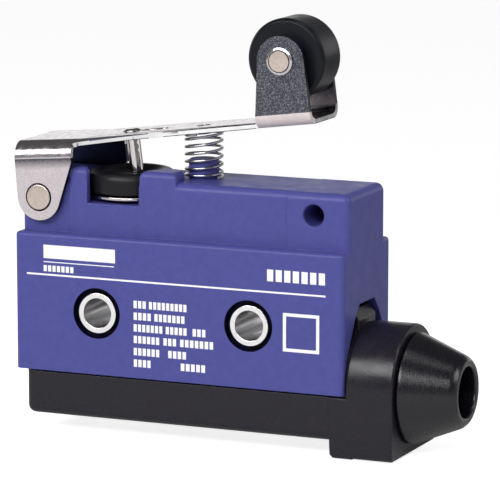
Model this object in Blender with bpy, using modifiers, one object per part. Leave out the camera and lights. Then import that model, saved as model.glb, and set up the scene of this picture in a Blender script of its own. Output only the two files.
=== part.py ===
"""Enclosed limit switch with a hinged roller lever, as separate pieces.

Frame: metres, +Z up. The origin is midway between the two fixing holes, on the
flat back face. +X runs along the body towards the cable gland and the body
reaches from Y = 0 forward to Y = -BODY_DEPTH.

Dimensions are in millimetres; the helpers scale them to metres.
"""

import math

import bmesh
import bpy
from mathutils import Matrix, Vector

MM = 0.001

# Body. The fixing hole pitch is the known size; the rest are in proportion.
HOLE_PITCH = 25.4
BODY_LEFT = -26.7
BODY_RIGHT = 28.2
BODY_DEPTH = 19.1
BODY_BOTTOM = -9.6
SKIRT_TOP = 11.9
BODY_TOP = 20.6
WALL = 1.6
EDGE_ROUND = 1.0
MID_Y = -BODY_DEPTH / 2

# Upper half of the body, narrower than the skirt under it.
UPPER_HALF_DEPTH = 7.25
ZONE_STEP = 0.25
LEVER_ZONE_RIGHT = -18.3
PROUD_ZONE_LEFT = 18.0
CEILING_Z = 15.0
PLUNGER_X = -10.9
POCKET_RADIUS = 7.6
WINDOW = (-15.3, -6.5)
POCKET_FLOOR = 16.7
RAISED_TOP = 22.1
RAISED_RIGHT = 1.0
RAISED_REAR = -1.6
SIDE_HOLE = (22.45, 17.2)
SIDE_HOLE_RADIUS = 1.65
SIDE_HOLE_DEPTH = 7.0

# Fixing holes.
BOSS_RADIUS = 5.0
EYELET_OUTER = 3.15
EYELET_BORE = 2.3
COUNTERBORE_RADIUS = 4.0
COUNTERBORE_DEPTH = 0.6

# Return spring and the spigot that it stands on.
SPRING_X = 1.2
SPRING_CENTRE_RADIUS = 2.8
SPRING_WIRE_RADIUS = 0.22
SPRING_TURNS = 6.75
SPIGOT_RADIUS = 2.35
SPIGOT_TOP = 23.7
SPRING_CLEARANCE = 4.2

# Sheet metal lever. Its blank is drawn flat and then folded.
PIVOT = (-23.15, 17.25)
PIVOT_TILT = math.radians(4.6)
ARM_KINK = math.radians(2.7)
SHEET = 0.8
PLATE_HEIGHT = 8.25
KINK_X = 6.44
EAR_RADIUS = 3.6
EAR_FLAT = 5.5
EAR_BEND = 2.3
ARM_HALF_START = 5.45
ARM_HALF_END = 4.3
FLANGE_RIGHT = 7.8
CLEVIS_LEFT = 36.25
CLEVIS_FLAT = 3.6
CLEVIS_BEND = 1.6
CLEVIS_EAR_RADIUS = 3.8
ROLLER_X = 41.52
ROLLER_HEIGHT = 9.58
PUSH_PIN_X = 12.94
PUSH_PIN_RADIUS = 0.95
PUSH_PIN_LENGTH = 6.2
PIVOT_PIN_RADIUS = 1.95
ROLLER_PIN_RADIUS = 1.9
RUNNING_GAP = 0.1

ROLLER_RADIUS = 6.25
ROLLER_HALF_WIDTH = 3.5
ROLLER_HUB_HALF = 4.6

# Terminal cover, its conduit block and the gland.
COVER_LEFT = -25.2
COVER_RIGHT = 25.8
COVER_HALF_DEPTH = 9.2
COVER_TOP = -9.9
COVER_BOTTOM = -16.7
COVER_WALL = 1.5
BLOCK_LEFT = 25.5
BLOCK_FACE = 28.5
BLOCK_RIGHT = 35.95
BLOCK_BOTTOM = -19.2
ARCH_Z = -9.05
ARCH_RADIUS = 9.45
GLAND_Z = -9.4
SPIGOT_END = 38.9
THREAD_RADIUS = 5.2
CONDUIT_RADIUS = 4.4
NUT_BASE = 36.3
NUT_END = 44.6
NUT_BASE_RADIUS = 8.4
NUT_END_RADIUS = 5.6
NUT_BORE_END = 41.5
NUT_HOLE_RADIUS = 3.9

# Contact block and terminals.
BASE_BOTTOM = 5.6
BASE_TOP = 8.0
BLADE_Z = 11.4
BLADE_ANCHOR_X = -16.0
CONTACT_X = 8.0
STRIP = 0.6
TAB_BOTTOM = 2.0
TERMINAL_XS = {"common": -21.3, "no": 0.0, "nc": 21.9}

GAP = 0.3
SIDES = 32

for leftover in list(bpy.data.objects):
    bpy.data.objects.remove(leftover, do_unlink=True)

PARTS = bpy.data.collections.new("limit_switch")
CUTTERS = bpy.data.collections.new("cutters")
for group in (PARTS, CUTTERS):
    bpy.context.scene.collection.children.link(group)


def material(name, colour, roughness, metallic=0.0):
    """Principled material of one colour."""
    made = bpy.data.materials.new(name)
    made.use_nodes = True
    shader = made.node_tree.nodes["Principled BSDF"]
    shader.inputs["Base Color"].default_value = (*colour, 1.0)
    shader.inputs["Roughness"].default_value = roughness
    shader.inputs["Metallic"].default_value = metallic
    return made


BLUE = material("blue_housing", (0.085, 0.09, 0.32), 0.45)
BLACK = material("black_plastic", (0.02, 0.02, 0.024), 0.4)
RUBBER = material("black_rubber", (0.012, 0.012, 0.014), 0.6)
NICKEL = material("zinc_plated_sheet", (0.58, 0.56, 0.57), 0.3, 1.0)
PIN_STEEL = material("plated_pin", (0.62, 0.54, 0.48), 0.35, 1.0)
STEEL = material("spring_steel", (0.5, 0.5, 0.52), 0.25, 1.0)
BRASS = material("brass", (0.75, 0.55, 0.2), 0.3, 1.0)
SILVER = material("silver_contact", (0.8, 0.8, 0.8), 0.25, 1.0)
THERMOSET = material("brown_thermoset", (0.07, 0.035, 0.02), 0.5)
ACETAL = material("white_acetal", (0.75, 0.75, 0.72), 0.4)


# Helpers -------------------------------------------------------------------


def row_point(x, y, z):
    """Millimetres, with y from the body's mid-plane, to the row frame."""
    return Vector((x * MM, (y + MID_Y) * MM, z * MM))


def link(name, mesh, coat=None):
    """Object in the parts collection, or a hidden cutter when it has no coat."""
    made = bpy.data.objects.new(name, mesh)
    if coat is None:
        CUTTERS.objects.link(made)
        made.hide_render = True
        made.display_type = "WIRE"
    else:
        PARTS.objects.link(made)
        mesh.materials.clear()
        mesh.materials.append(coat)
    mesh.shade_smooth()
    mesh.set_sharp_from_angle(angle=math.radians(30))
    return made


def from_bmesh(name, bm, coat=None):
    mesh = bpy.data.meshes.new(name)
    bm.to_mesh(mesh)
    bm.free()
    return link(name, mesh, coat)


def box(name, low, high, coat=None, rounding=0.0, chosen=None):
    """Box between two corners. chosen(edge) picks the edges that are rounded."""
    bm = bmesh.new()
    bmesh.ops.create_cube(bm, size=1.0)
    size = Vector(high) - Vector(low)
    middle = (Vector(high) + Vector(low)) / 2
    for vert in bm.verts:
        place = [vert.co[i] * size[i] + middle[i] for i in range(3)]
        vert.co = row_point(*place)
    weights = bm.edges.layers.float.new("bevel_weight_edge")
    for edge in bm.edges:
        run = (edge.verts[1].co - edge.verts[0].co).normalized()
        spot = (edge.verts[1].co + edge.verts[0].co) / 2 / MM
        edge[weights] = 1.0 if chosen is None or chosen(run, spot) else 0.0
    made = from_bmesh(name, bm, coat)
    if rounding:
        bevel = made.modifiers.new("rounding", "BEVEL")
        bevel.width = rounding * MM
        bevel.segments = 3
        bevel.limit_method = "WEIGHT"
    return made


def frame_to(direction):
    """Rotation that turns local +Z to a direction."""
    return Vector(direction).to_track_quat("Z", "Y").to_matrix().to_4x4()


def cylinder(name, radius, start, end, coat=None, sides=SIDES):
    """Cylinder between the centres of its two ends."""
    low, high = row_point(*start), row_point(*end)
    bm = bmesh.new()
    bmesh.ops.create_cone(
        bm, cap_ends=True, segments=sides, radius1=radius * MM, radius2=radius * MM,
        depth=(high - low).length,
    )
    bm.transform(Matrix.Translation((low + high) / 2) @ frame_to(high - low))
    return from_bmesh(name, bm, coat)


def turned(name, profile, foot, direction, coat, sides=SIDES, closed=False):
    """Turned piece: (radius, height) points, down its outer side."""
    bm = bmesh.new()
    ring = [bm.verts.new((radius * MM, 0.0, height * MM)) for radius, height in profile]
    for first, second in zip(ring, ring[1:]):
        bm.edges.new((first, second))
    if closed:
        bm.edges.new((ring[-1], ring[0]))
    made = from_bmesh(name, bm, coat)
    screw = made.modifiers.new("turn", "SCREW")
    screw.steps = sides
    screw.render_steps = sides
    screw.use_merge_vertices = True
    screw.merge_threshold = 1e-6
    screw.use_smooth_shade = True
    made.matrix_world = Matrix.Translation(row_point(*foot)) @ frame_to(direction)
    return made


def curve_mesh(curve):
    """Closed mesh of a curve, with its caps welded."""
    holder = bpy.data.objects.new("curve", curve)
    bpy.context.scene.collection.objects.link(holder)
    graph = bpy.context.evaluated_depsgraph_get()
    graph.update()
    mesh = bpy.data.meshes.new_from_object(holder.evaluated_get(graph))
    bpy.data.objects.remove(holder, do_unlink=True)
    bm = bmesh.new()
    bm.from_mesh(mesh)
    bmesh.ops.remove_doubles(bm, verts=bm.verts, dist=1e-6)
    bpy.data.meshes.remove(mesh)
    return bm


def outline_curve(outlines, thickness):
    """Filled flat curve of closed outlines; the inner ones are holes."""
    curve = bpy.data.curves.new("outline", "CURVE")
    curve.dimensions = "2D"
    curve.fill_mode = "BOTH"
    curve.extrude = thickness * MM / 2
    for outline in outlines:
        spline = curve.splines.new("POLY")
        spline.points.add(len(outline) - 1)
        spline.use_cyclic_u = True
        for point, (across, up) in zip(spline.points, outline):
            point.co = (across * MM, up * MM, 0.0, 1.0)
    return curve


AXIS_FRAMES = {
    "x": Matrix(((0, 0, 1, 0), (1, 0, 0, 0), (0, 1, 0, 0), (0, 0, 0, 1))),
    "y": Matrix(((1, 0, 0, 0), (0, 0, -1, 0), (0, 1, 0, 0), (0, 0, 0, 1))),
    "z": Matrix.Identity(4),
}
AXIS_SPOTS = {
    "x": lambda middle: (middle, 0.0, 0.0),
    "y": lambda middle: (0.0, middle, 0.0),
    "z": lambda middle: (0.0, 0.0, middle),
}


def prism(name, outlines, axis, low, high, coat=None):
    """Straight piece with the given outlines, from low to high along an axis."""
    bm = curve_mesh(outline_curve(outlines, high - low))
    spot = row_point(*AXIS_SPOTS[axis]((low + high) / 2))
    bm.transform(Matrix.Translation(spot) @ AXIS_FRAMES[axis])
    bmesh.ops.recalc_face_normals(bm, faces=bm.faces)
    return from_bmesh(name, bm, coat)


def arc(centre, radius, start, end, steps=8):
    """Points on an arc, angles in degrees."""
    turns = (math.radians(start + (end - start) * i / steps) for i in range(steps + 1))
    return [(centre[0] + radius * math.cos(t), centre[1] + radius * math.sin(t)) for t in turns]


def rounded_rectangle(low, high, radius, steps=4):
    corners = (
        ((high[0] - radius, low[1] + radius), -90),
        ((high[0] - radius, high[1] - radius), 0),
        ((low[0] + radius, high[1] - radius), 90),
        ((low[0] + radius, low[1] + radius), 180),
    )
    return [p for centre, start in corners for p in arc(centre, radius, start, start + 90, steps)]


def boolean(target, operation, others):
    """Cut or join: the other shapes become hidden helpers of the target."""
    for other in others:
        step = target.modifiers.new(other.name, "BOOLEAN")
        step.operation = operation
        step.object = other
    return target


def cut(target, *others):
    return boolean(target, "DIFFERENCE", others)


def join(target, *others):
    return boolean(target, "UNION", others)


def wire(name, points, radius, coat):
    """Round wire along a list of points."""
    curve = bpy.data.curves.new(name, "CURVE")
    curve.dimensions = "3D"
    curve.bevel_depth = radius * MM
    curve.bevel_resolution = 2
    curve.use_fill_caps = True
    spline = curve.splines.new("POLY")
    spline.points.add(len(points) - 1)
    for point, place in zip(spline.points, points):
        point.co = (*row_point(*place), 1.0)
    return from_bmesh(name, curve_mesh(curve), coat)


def strip_outline(path, thickness):
    """Outline of a bent strip: its centre line thickened by mitred offsets."""
    sides = {1: [], -1: []}
    for i, here in enumerate(path):
        before = Vector(here) - Vector(path[i - 1]) if i else None
        after = Vector(path[i + 1]) - Vector(here) if i + 1 < len(path) else None
        runs = [run.normalized() for run in (before, after) if run is not None]
        normals = [Vector((-run.y, run.x)) for run in runs]
        mitre = sum(normals, Vector((0.0, 0.0))).normalized()
        reach = thickness / 2 / mitre.dot(normals[0])
        for side, points in sides.items():
            points.append(tuple(Vector(here) + mitre * reach * side))
    return sides[-1] + sides[1][::-1]


# Lever frame ---------------------------------------------------------------


def lever_place(x, y, rise):
    """Blank coordinate x, width y and height over the plate's mid-surface."""
    if x > KINK_X:
        along = x - KINK_X
        local_x = KINK_X + along * math.cos(ARM_KINK) - rise * math.sin(ARM_KINK)
        local_z = PLATE_HEIGHT + along * math.sin(ARM_KINK) + rise * math.cos(ARM_KINK)
    else:
        local_x, local_z = x, PLATE_HEIGHT + rise
    cos, sin = math.cos(PIVOT_TILT), math.sin(PIVOT_TILT)
    return (
        PIVOT[0] + local_x * cos - local_z * sin,
        y,
        PIVOT[1] + local_x * sin + local_z * cos,
    )


def folded(x, across):
    """Place of a point of the flat blank once its ears are folded."""
    side = math.copysign(1.0, across)
    clevis = x > CLEVIS_LEFT - 0.01
    flat, bend = (CLEVIS_FLAT, CLEVIS_BEND) if clevis else (EAR_FLAT, EAR_BEND)
    over = abs(across) - flat
    if over <= 0:
        return lever_place(x, across, 0.0)
    turn = min(over / bend, math.pi / 2)
    width = flat + bend * math.sin(turn)
    drop = bend * (1 - math.cos(turn)) + max(over - bend * math.pi / 2, 0.0)
    return lever_place(x, side * width, drop if clevis else -drop)


def blank_half(flange_x, ear_reach):
    """Half of the lever's blank, from its pivot end to its roller end."""
    pivot_across = EAR_FLAT + EAR_BEND * math.pi / 2 + PLATE_HEIGHT - EAR_BEND
    roller_across = CLEVIS_FLAT + CLEVIS_BEND * math.pi / 2 + ROLLER_HEIGHT - CLEVIS_BEND
    shoulder = (flange_x, pivot_across - ear_reach)
    run = Vector((shoulder[0], pivot_across - shoulder[1]))
    touch = math.degrees(math.atan2(run.y, run.x) - math.acos(EAR_RADIUS / run.length))
    ear = arc((0.0, pivot_across), EAR_RADIUS, 180, -touch, 14)
    clevis = arc((ROLLER_X, roller_across), CLEVIS_EAR_RADIUS, 180, 0, 14)
    relief = (flange_x, EAR_FLAT + 0.2)
    arm = [(flange_x + 0.5, ARM_HALF_START), (CLEVIS_LEFT, ARM_HALF_END)]
    corner = [(CLEVIS_LEFT, CLEVIS_FLAT + CLEVIS_BEND)]
    end = [(ROLLER_X + CLEVIS_EAR_RADIUS, 0.0)]
    return [(-EAR_RADIUS, 0.0)] + ear + [shoulder, relief] + arm + corner + clevis + end


def bend_lines(flat, bend, steps=5):
    return [flat + bend * math.pi / 2 * i / steps for i in range(steps + 1)]


def lever_sheet(name, coat):
    """The lever: a flat blank, scored along its bend lines, folded, thickened."""
    front = [(x, -across) for x, across in blank_half(KINK_X - 0.4, 5.2)]
    rear = blank_half(FLANGE_RIGHT, 3.3)
    outline = front[:-1] + rear[::-1][:-1]
    bm = curve_mesh(outline_curve([outline], 0.0))
    bmesh.ops.dissolve_faces(bm, faces=list(bm.faces))
    scores = [(KINK_X, 0), (CLEVIS_LEFT, 0)]
    for flat, bend in ((EAR_FLAT, EAR_BEND), (CLEVIS_FLAT, CLEVIS_BEND)):
        scores += [(line * side, 1) for line in bend_lines(flat, bend) for side in (-1, 1)]
    for offset, direction in scores:
        point, normal = Vector((0.0, 0.0, 0.0)), Vector((0.0, 0.0, 0.0))
        point[direction] = offset * MM
        normal[direction] = 1.0
        everything = bm.verts[:] + bm.edges[:] + bm.faces[:]
        bmesh.ops.bisect_plane(bm, geom=everything, dist=1e-7, plane_co=point, plane_no=normal)
    for vert in bm.verts:
        vert.co = row_point(*folded(vert.co.x / MM, vert.co.y / MM))
    made = from_bmesh(name, bm, coat)
    thick = made.modifiers.new("sheet", "SOLIDIFY")
    thick.thickness = SHEET * MM
    thick.offset = 0.0
    thick.use_even_offset = True
    return made


ROLLER_CENTRE = lever_place(ROLLER_X, 0.0, ROLLER_HEIGHT)


# Pieces --------------------------------------------------------------------


def make_housing():
    """Blue body: skirt and upper half in one moulding, open underneath."""
    skirt = box(
        "housing", (BODY_LEFT, -BODY_DEPTH / 2, BODY_BOTTOM),
        (BODY_RIGHT, BODY_DEPTH / 2, SKIRT_TOP), BLUE, EDGE_ROUND,
        lambda run, spot: abs(run.z) > 0.9 or (abs(run.x) > 0.9 and spot.z > 0),
    )
    upper = box(
        "upper_half", (BODY_LEFT, -UPPER_HALF_DEPTH, 4.0),
        (BODY_RIGHT, UPPER_HALF_DEPTH, BODY_TOP), rounding=EDGE_ROUND,
    )
    proud = box(
        "proud_zone", (PROUD_ZONE_LEFT, -UPPER_HALF_DEPTH - ZONE_STEP, 4.0),
        (BODY_RIGHT, 0.0, BODY_TOP), rounding=EDGE_ROUND,
        chosen=lambda run, spot: spot.x > PROUD_ZONE_LEFT + 1 or abs(run.x) > 0.9,
    )
    raised = box(
        "raised_wall", (LEVER_ZONE_RIGHT, -UPPER_HALF_DEPTH, 15.0),
        (RAISED_RIGHT, RAISED_REAR, RAISED_TOP), rounding=EDGE_ROUND,
    )
    spigot = cylinder("spring_spigot", SPIGOT_RADIUS, (SPRING_X, 0, 19.0), (SPRING_X, 0, SPIGOT_TOP))
    join(skirt, upper, proud, raised, spigot)

    inner = BODY_DEPTH / 2 - WALL
    skirt_hollow = box(
        "skirt_hollow", (BODY_LEFT + WALL, -inner, BODY_BOTTOM - 5),
        (BODY_RIGHT - WALL, inner, SKIRT_TOP - WALL),
    )
    upper_hollow = box(
        "upper_hollow", (LEVER_ZONE_RIGHT - 0.1, -UPPER_HALF_DEPTH + WALL, SKIRT_TOP - WALL - 1),
        (PROUD_ZONE_LEFT + 2.2, UPPER_HALF_DEPTH - WALL, CEILING_Z),
    )
    cut(skirt, skirt_hollow, upper_hollow)

    for side, x in (("left", -HOLE_PITCH / 2), ("right", HOLE_PITCH / 2)):
        reach = BODY_DEPTH / 2 - 0.2
        boss = cylinder(f"boss_{side}", BOSS_RADIUS, (x, -reach, 0), (x, reach, 0))
        post = cylinder(f"post_{side}", 2.6, (x, 0, -BOSS_RADIUS + 0.5), (x, 0, BODY_BOTTOM + 0.4))
        join(skirt, boss, post)
        bore = cylinder(
            f"eyelet_bore_{side}", EYELET_OUTER + RUNNING_GAP, (x, -BODY_DEPTH, 0), (x, BODY_DEPTH, 0)
        )
        cut(skirt, bore)
        for face, sign in (("front", -1), ("back", 1)):
            counterbore = cylinder(
                f"counterbore_{face}_{side}", COUNTERBORE_RADIUS,
                (x, sign * (BODY_DEPTH / 2 - COUNTERBORE_DEPTH), 0), (x, sign * BODY_DEPTH, 0),
            )
            cut(skirt, counterbore)
        cut(skirt, cylinder(f"pilot_{side}", 1.35, (x, 0, -6.2), (x, 0, BODY_BOTTOM - 2), sides=16))

    for side, sign in (("front", -1), ("back", 1)):
        near, far = sorted((sign * (UPPER_HALF_DEPTH - ZONE_STEP), sign * BODY_DEPTH))
        cut(skirt, box(
            f"lever_recess_{side}", (BODY_LEFT - 2, near, SKIRT_TOP + 0.1),
            (LEVER_ZONE_RIGHT, far, BODY_TOP + 3),
        ))
    opening = [(3.0, 3.45), (6.3, -0.65), (8.25, -4.2), (8.7, -6.5), (8.9, -12.0)]
    opening = [(-y, z) for y, z in opening] + opening[::-1]
    cut(
        skirt,
        cylinder("pocket", POCKET_RADIUS, (PLUNGER_X, 0, POCKET_FLOOR), (PLUNGER_X, 0, 30), sides=48),
        box("window", (WINDOW[0], -12, POCKET_FLOOR), (WINDOW[1], 12, 30)),
        cylinder("guide_hole", 3.4, (PLUNGER_X, 0, 14), (PLUNGER_X, 0, 17)),
        cylinder(
            "pivot_bore", PIVOT_PIN_RADIUS + RUNNING_GAP,
            (PIVOT[0], -12, PIVOT[1]), (PIVOT[0], 12, PIVOT[1]),
        ),
        cylinder(
            "side_hole", SIDE_HOLE_RADIUS, (SIDE_HOLE[0], -12, SIDE_HOLE[1]),
            (SIDE_HOLE[0], SIDE_HOLE_DEPTH - UPPER_HALF_DEPTH, SIDE_HOLE[1]),
        ),
        prism("cable_opening", [opening], "x", BODY_RIGHT - WALL - 1, BODY_RIGHT + 2),
    )
    clearance = cylinder("spring_clearance", SPRING_CLEARANCE, (SPRING_X, 0, BODY_TOP), (SPRING_X, 0, 30))
    cut(raised, clearance)
    return skirt


def make_eyelet(side, x):
    """Steel sleeve that takes a fixing screw through the body."""
    half = BODY_DEPTH / 2 - 0.3
    profile = [
        (EYELET_OUTER, half), (EYELET_OUTER, -half), (EYELET_BORE + 0.3, -half),
        (EYELET_BORE, -half + 0.3), (EYELET_BORE, half - 0.3), (EYELET_BORE + 0.3, half),
    ]
    return turned(f"mounting_eyelet_{side}", profile, (x, 0, 0), (0, 1, 0), NICKEL, closed=True)


def make_lever():
    """Lever with the holes for its pins and the boss that locates the spring."""
    lever = lever_sheet("lever_arm", NICKEL)
    spring_along = KINK_X + (SPRING_X - lever_place(KINK_X, 0, 0)[0]) / math.cos(PIVOT_TILT + ARM_KINK)
    dimple = cylinder(
        "spring_dimple", 1.7, lever_place(spring_along, 0, 0), lever_place(spring_along, 0, -SHEET / 2 - 0.6)
    )
    join(lever, dimple)
    reach = 12
    holes = (
        cylinder(
            "pivot_hole", PIVOT_PIN_RADIUS + RUNNING_GAP,
            (PIVOT[0], -reach, PIVOT[1]), (PIVOT[0], reach, PIVOT[1]),
        ),
        cylinder(
            "roller_hole", ROLLER_PIN_RADIUS + RUNNING_GAP,
            (ROLLER_CENTRE[0], -reach, ROLLER_CENTRE[2]), (ROLLER_CENTRE[0], reach, ROLLER_CENTRE[2]),
        ),
        cylinder(
            "push_pin_hole", PUSH_PIN_RADIUS + RUNNING_GAP,
            lever_place(PUSH_PIN_X, 0, -2), lever_place(PUSH_PIN_X, 0, 2), sides=20,
        ),
        cylinder(
            "dimple_recess", 1.2, lever_place(spring_along, 0, -0.3), lever_place(spring_along, 0,
                2), sides=20
        ),
    )
    return cut(lever, *holes)


def make_pivot_pin():
    half = EAR_FLAT + EAR_BEND + SHEET / 2 + 0.25
    chamfer = 0.15
    radius = PIVOT_PIN_RADIUS
    profile = [(0, half), (radius - chamfer, half), (radius, half - chamfer)]
    profile += [(r, -h) for r, h in profile[::-1]]
    return turned("lever_pivot_pin", profile, (PIVOT[0], 0, PIVOT[1]), (0, 1, 0), PIN_STEEL)


def make_roller_pin():
    half = CLEVIS_FLAT + CLEVIS_BEND + SHEET / 2 + 0.6
    chamfer = 0.2
    radius = ROLLER_PIN_RADIUS
    profile = [(0, half), (radius - chamfer, half), (radius, half - chamfer)]
    profile += [(r, -h) for r, h in profile[::-1]]
    return turned("roller_pin", profile, ROLLER_CENTRE, (0, 1, 0), PIN_STEEL)


def make_roller():
    """Black wheel: chamfered rim, recessed web and a raised hub each side."""
    half = ROLLER_HALF_WIDTH
    side = [
        (2.9, ROLLER_HUB_HALF), (2.9, half - 0.3), (4.7, half - 0.3),
        (4.8, half), (ROLLER_RADIUS - 0.4, half), (ROLLER_RADIUS, half - 0.4),
    ]
    bore = ROLLER_PIN_RADIUS + RUNNING_GAP
    profile = [(bore, ROLLER_HUB_HALF)] + side + [(r, -h) for r, h in side[::-1]] + [(bore, -ROLLER_HUB_HALF)]
    return turned("roller", profile, ROLLER_CENTRE, (0, 1, 0), BLACK, closed=True)


def make_push_pin():
    """Rivet through the lever: head above the plate, collar below, round tip."""
    radius = PUSH_PIN_RADIUS
    top = SHEET / 2 + 0.1
    tip = -PUSH_PIN_LENGTH
    profile = [
        (0, top + 0.3), (1.2, top + 0.3), (1.45, top), (radius, top), (radius, -top), (1.25, -top),
        (1.25, -top - 0.35), (radius, -top - 0.35), (radius, tip + 0.3), (radius - 0.3, tip), (0, tip),
    ]
    up = Vector(lever_place(PUSH_PIN_X, 0, 1)) - Vector(lever_place(PUSH_PIN_X, 0, 0))
    return turned("push_pin", profile, lever_place(PUSH_PIN_X, 0, 0), up, PIN_STEEL, sides=20)


def spring_points(turns, per_turn, radius, foot, height, closed_turns, shear=0.0):
    """Centre line of a compression spring with closed ends, top coil sheared."""
    count = int(turns * per_turn)
    middle = turns - 2 * closed_turns
    pitch_end = 2 * SPRING_WIRE_RADIUS + 0.05
    rise_end = closed_turns * pitch_end
    points = []
    for i in range(count + 1):
        turn = i / per_turn
        if turn < closed_turns:
            z = turn * pitch_end
        elif turn > turns - closed_turns:
            z = height - (turns - turn) * pitch_end
        else:
            z = rise_end + (turn - closed_turns) / middle * (height - 2 * rise_end)
        across = radius * math.cos(turn * 2 * math.pi)
        points.append((
            foot[0] + across, foot[1] + radius * math.sin(turn * 2 * math.pi),
            foot[2] + z + shear * across * z / height,
        ))
    return points


def make_return_spring():
    """Coil spring from the spigot to the lever; its top coil lies on the arm."""
    slope = math.tan(PIVOT_TILT + ARM_KINK)
    foot_z = BODY_TOP + SPRING_WIRE_RADIUS + 0.08
    arm_x, _, arm_z = lever_place(KINK_X, 0, -SHEET / 2)
    under_arm = arm_z + (SPRING_X - arm_x) * slope
    height = under_arm - SPRING_WIRE_RADIUS - 0.1 - foot_z
    points = spring_points(
        SPRING_TURNS, 10, SPRING_CENTRE_RADIUS, (SPRING_X, 0, foot_z), height, 0.9, slope
    )
    return wire("return_spring", points, SPRING_WIRE_RADIUS, STEEL)


def make_boot():
    """Rubber cap over the plunger: rolled shoulder, dished middle, neck inside the ring."""
    outside = [
        (0, 20.35), (2.6, 20.4), (3.9, 20.8), (5.0, 21.35), (5.8, 21.4), (6.5, 21.0), (6.8, 20.3), (6.8,
            17.95),
    ]
    foot = [(5.4, 17.95), (5.4, 16.95), (4.7, 16.95)]
    inside = [(4.7, 18.0), (6.1, 18.6), (6.1, 20.2), (5.2, 20.6), (3.6, 20.05), (0, 20.0)]
    return turned("rubber_boot", outside + foot + inside, (PLUNGER_X, 0, 0), (0, 0, 1), RUBBER)


def make_boot_ring():
    """Steel ring around the neck of the boot."""
    profile = [(5.6, 17.7), (6.75, 17.7), (6.75, 17.2), (5.6, 17.2)]
    return turned("boot_clamp_ring", profile, (PLUNGER_X, 0, 0), (0, 0, 1), STEEL, closed=True)


def make_plunger_guide():
    profile = [(2.1, 17.05), (4.2, 17.05), (4.2, 16.8), (3.2, 16.8), (3.2, 13.2), (2.1, 13.2)]
    return turned("plunger_guide", profile, (PLUNGER_X, 0, 0), (0, 0, 1), BRASS, sides=24, closed=True)


def make_plunger():
    """Headed plunger, hollow from below for its overtravel spring."""
    profile = [
        (0, 19.95), (2.5, 19.95), (2.8, 19.7), (2.8, 19.2), (2.0, 19.2), (2.0, 14.0),
        (1.5, 14.0), (1.5, 18.6), (0, 18.6),
    ]
    return turned("plunger", profile, (PLUNGER_X, 0, 0), (0, 0, 1), ACETAL, sides=24)


def make_overtravel_spring():
    """Small coil spring between the plunger and the snap blade."""
    wire_radius = 0.15
    foot = BLADE_Z + 0.15 + wire_radius + 0.08
    height = 18.6 - wire_radius - 0.08 - foot
    turns, per_turn, radius = 5, 8, 1.1
    points = [
        (
            PLUNGER_X + radius * math.cos(2 * math.pi * i / per_turn),
            radius * math.sin(2 * math.pi * i / per_turn),
            foot + height * i / (turns * per_turn),
        )
        for i in range(turns * per_turn + 1)
    ]
    return wire("overtravel_spring", points, wire_radius, STEEL)


def make_switch_base():
    """Insulating plate that carries the terminals, slotted for their risers."""
    slots = [(-24.2, 5.0), (3.6, 5.0), (18.5, 5.0)]
    plate = rounded_rectangle((BODY_LEFT + WALL + GAP, -7.6), (BODY_RIGHT - WALL - GAP, 7.6), 0.8, 2)
    holes = [
        [(x - 0.6, -y / 2 - 0.3), (x + 0.6, -y / 2 - 0.3), (x + 0.6, y / 2 + 0.3), (x - 0.6, y / 2 + 0.3)]
        for x, y in slots
    ]
    return prism("switch_base", [plate] + holes, "z", BASE_BOTTOM, BASE_TOP, THERMOSET)


TAB_Z = TAB_BOTTOM + STRIP / 2
ON_BASE_Z = BASE_TOP + 0.1 + STRIP / 2
TERMINAL_PATHS = {
    "common": [(-18.4, TAB_Z), (-24.2, TAB_Z), (-24.2, ON_BASE_Z), (-16.0, ON_BASE_Z), (-16.0,
        BLADE_Z - 0.25)],
    "no": [(-3.0, TAB_Z), (3.6, TAB_Z), (3.6, ON_BASE_Z), (10.0, ON_BASE_Z)],
    "nc": [(25.2, TAB_Z), (18.5, TAB_Z), (18.5, 13.6), (6.4, 13.6)],
}


def make_terminal(role):
    """Bent brass strip with a tapped tab at its lower end."""
    x = TERMINAL_XS[role]
    half_width = 2.5
    strip = prism(
        f"{role}_terminal", [strip_outline(TERMINAL_PATHS[role], STRIP)], "y", -half_width, half_width, BRASS
    )
    cut(strip, cylinder(f"tapped_hole_{role}", 1.6, (x, 0, TAB_BOTTOM - 1), (x, 0, TAB_BOTTOM + 2), sides=20))
    if role != "common":
        z = TERMINAL_PATHS[role][-1][1]
        cut(strip, cylinder(f"rivet_hole_{role}", 0.75, (CONTACT_X, 0, z - 1), (CONTACT_X, 0, z + 1),
            sides=16))
    return strip


def make_terminal_screw(role):
    """Slotted terminal screw, its head down towards the cover."""
    x = TERMINAL_XS[role]
    profile = [(0, 4.6), (1.3, 4.6), (1.5, 4.3), (1.5, 0.3), (2.8, 0.3), (2.8, -1.2), (2.4, -1.5), (0, -1.5)]
    screw = turned(f"terminal_screw_{role}", profile, (x, 0, 0), (0, 0, 1), NICKEL, sides=16)
    return cut(screw, box(f"slot_{role}", (x - 4, -0.35, -2.5), (x + 4, 0.35, -0.7)))


def make_clamp_washer(role):
    """Square wire clamp held by the terminal screw."""
    x = TERMINAL_XS[role]
    outer = rounded_rectangle((x - 2.9, -3.0), (x + 2.9, 3.0), 0.5, 2)
    hole = arc((x, 0.0), 1.8, 0, 360 - 18, 19)
    return prism(f"wire_clamp_{role}", [outer, hole], "z", 0.6, 1.4, NICKEL)


def make_snap_blade():
    """Spring blade from its anchor to the moving contact, slotted for the snap tongue."""
    outer = rounded_rectangle((BLADE_ANCHOR_X - 0.8, -2.25), (CONTACT_X + 1.6, 2.25), 0.6, 2)
    slots = [rounded_rectangle((-7.5, y - 0.35), (5.0, y + 0.35), 0.3, 2) for y in (-1.1, 1.1)]
    blade = prism("snap_blade", [outer] + slots, "z", BLADE_Z - 0.15, BLADE_Z + 0.15, STEEL)
    return cut(
        blade, cylinder("blade_hole", 0.75, (CONTACT_X, 0, BLADE_Z - 1), (CONTACT_X, 0, BLADE_Z + 1),
            sides=16)
    )


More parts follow.
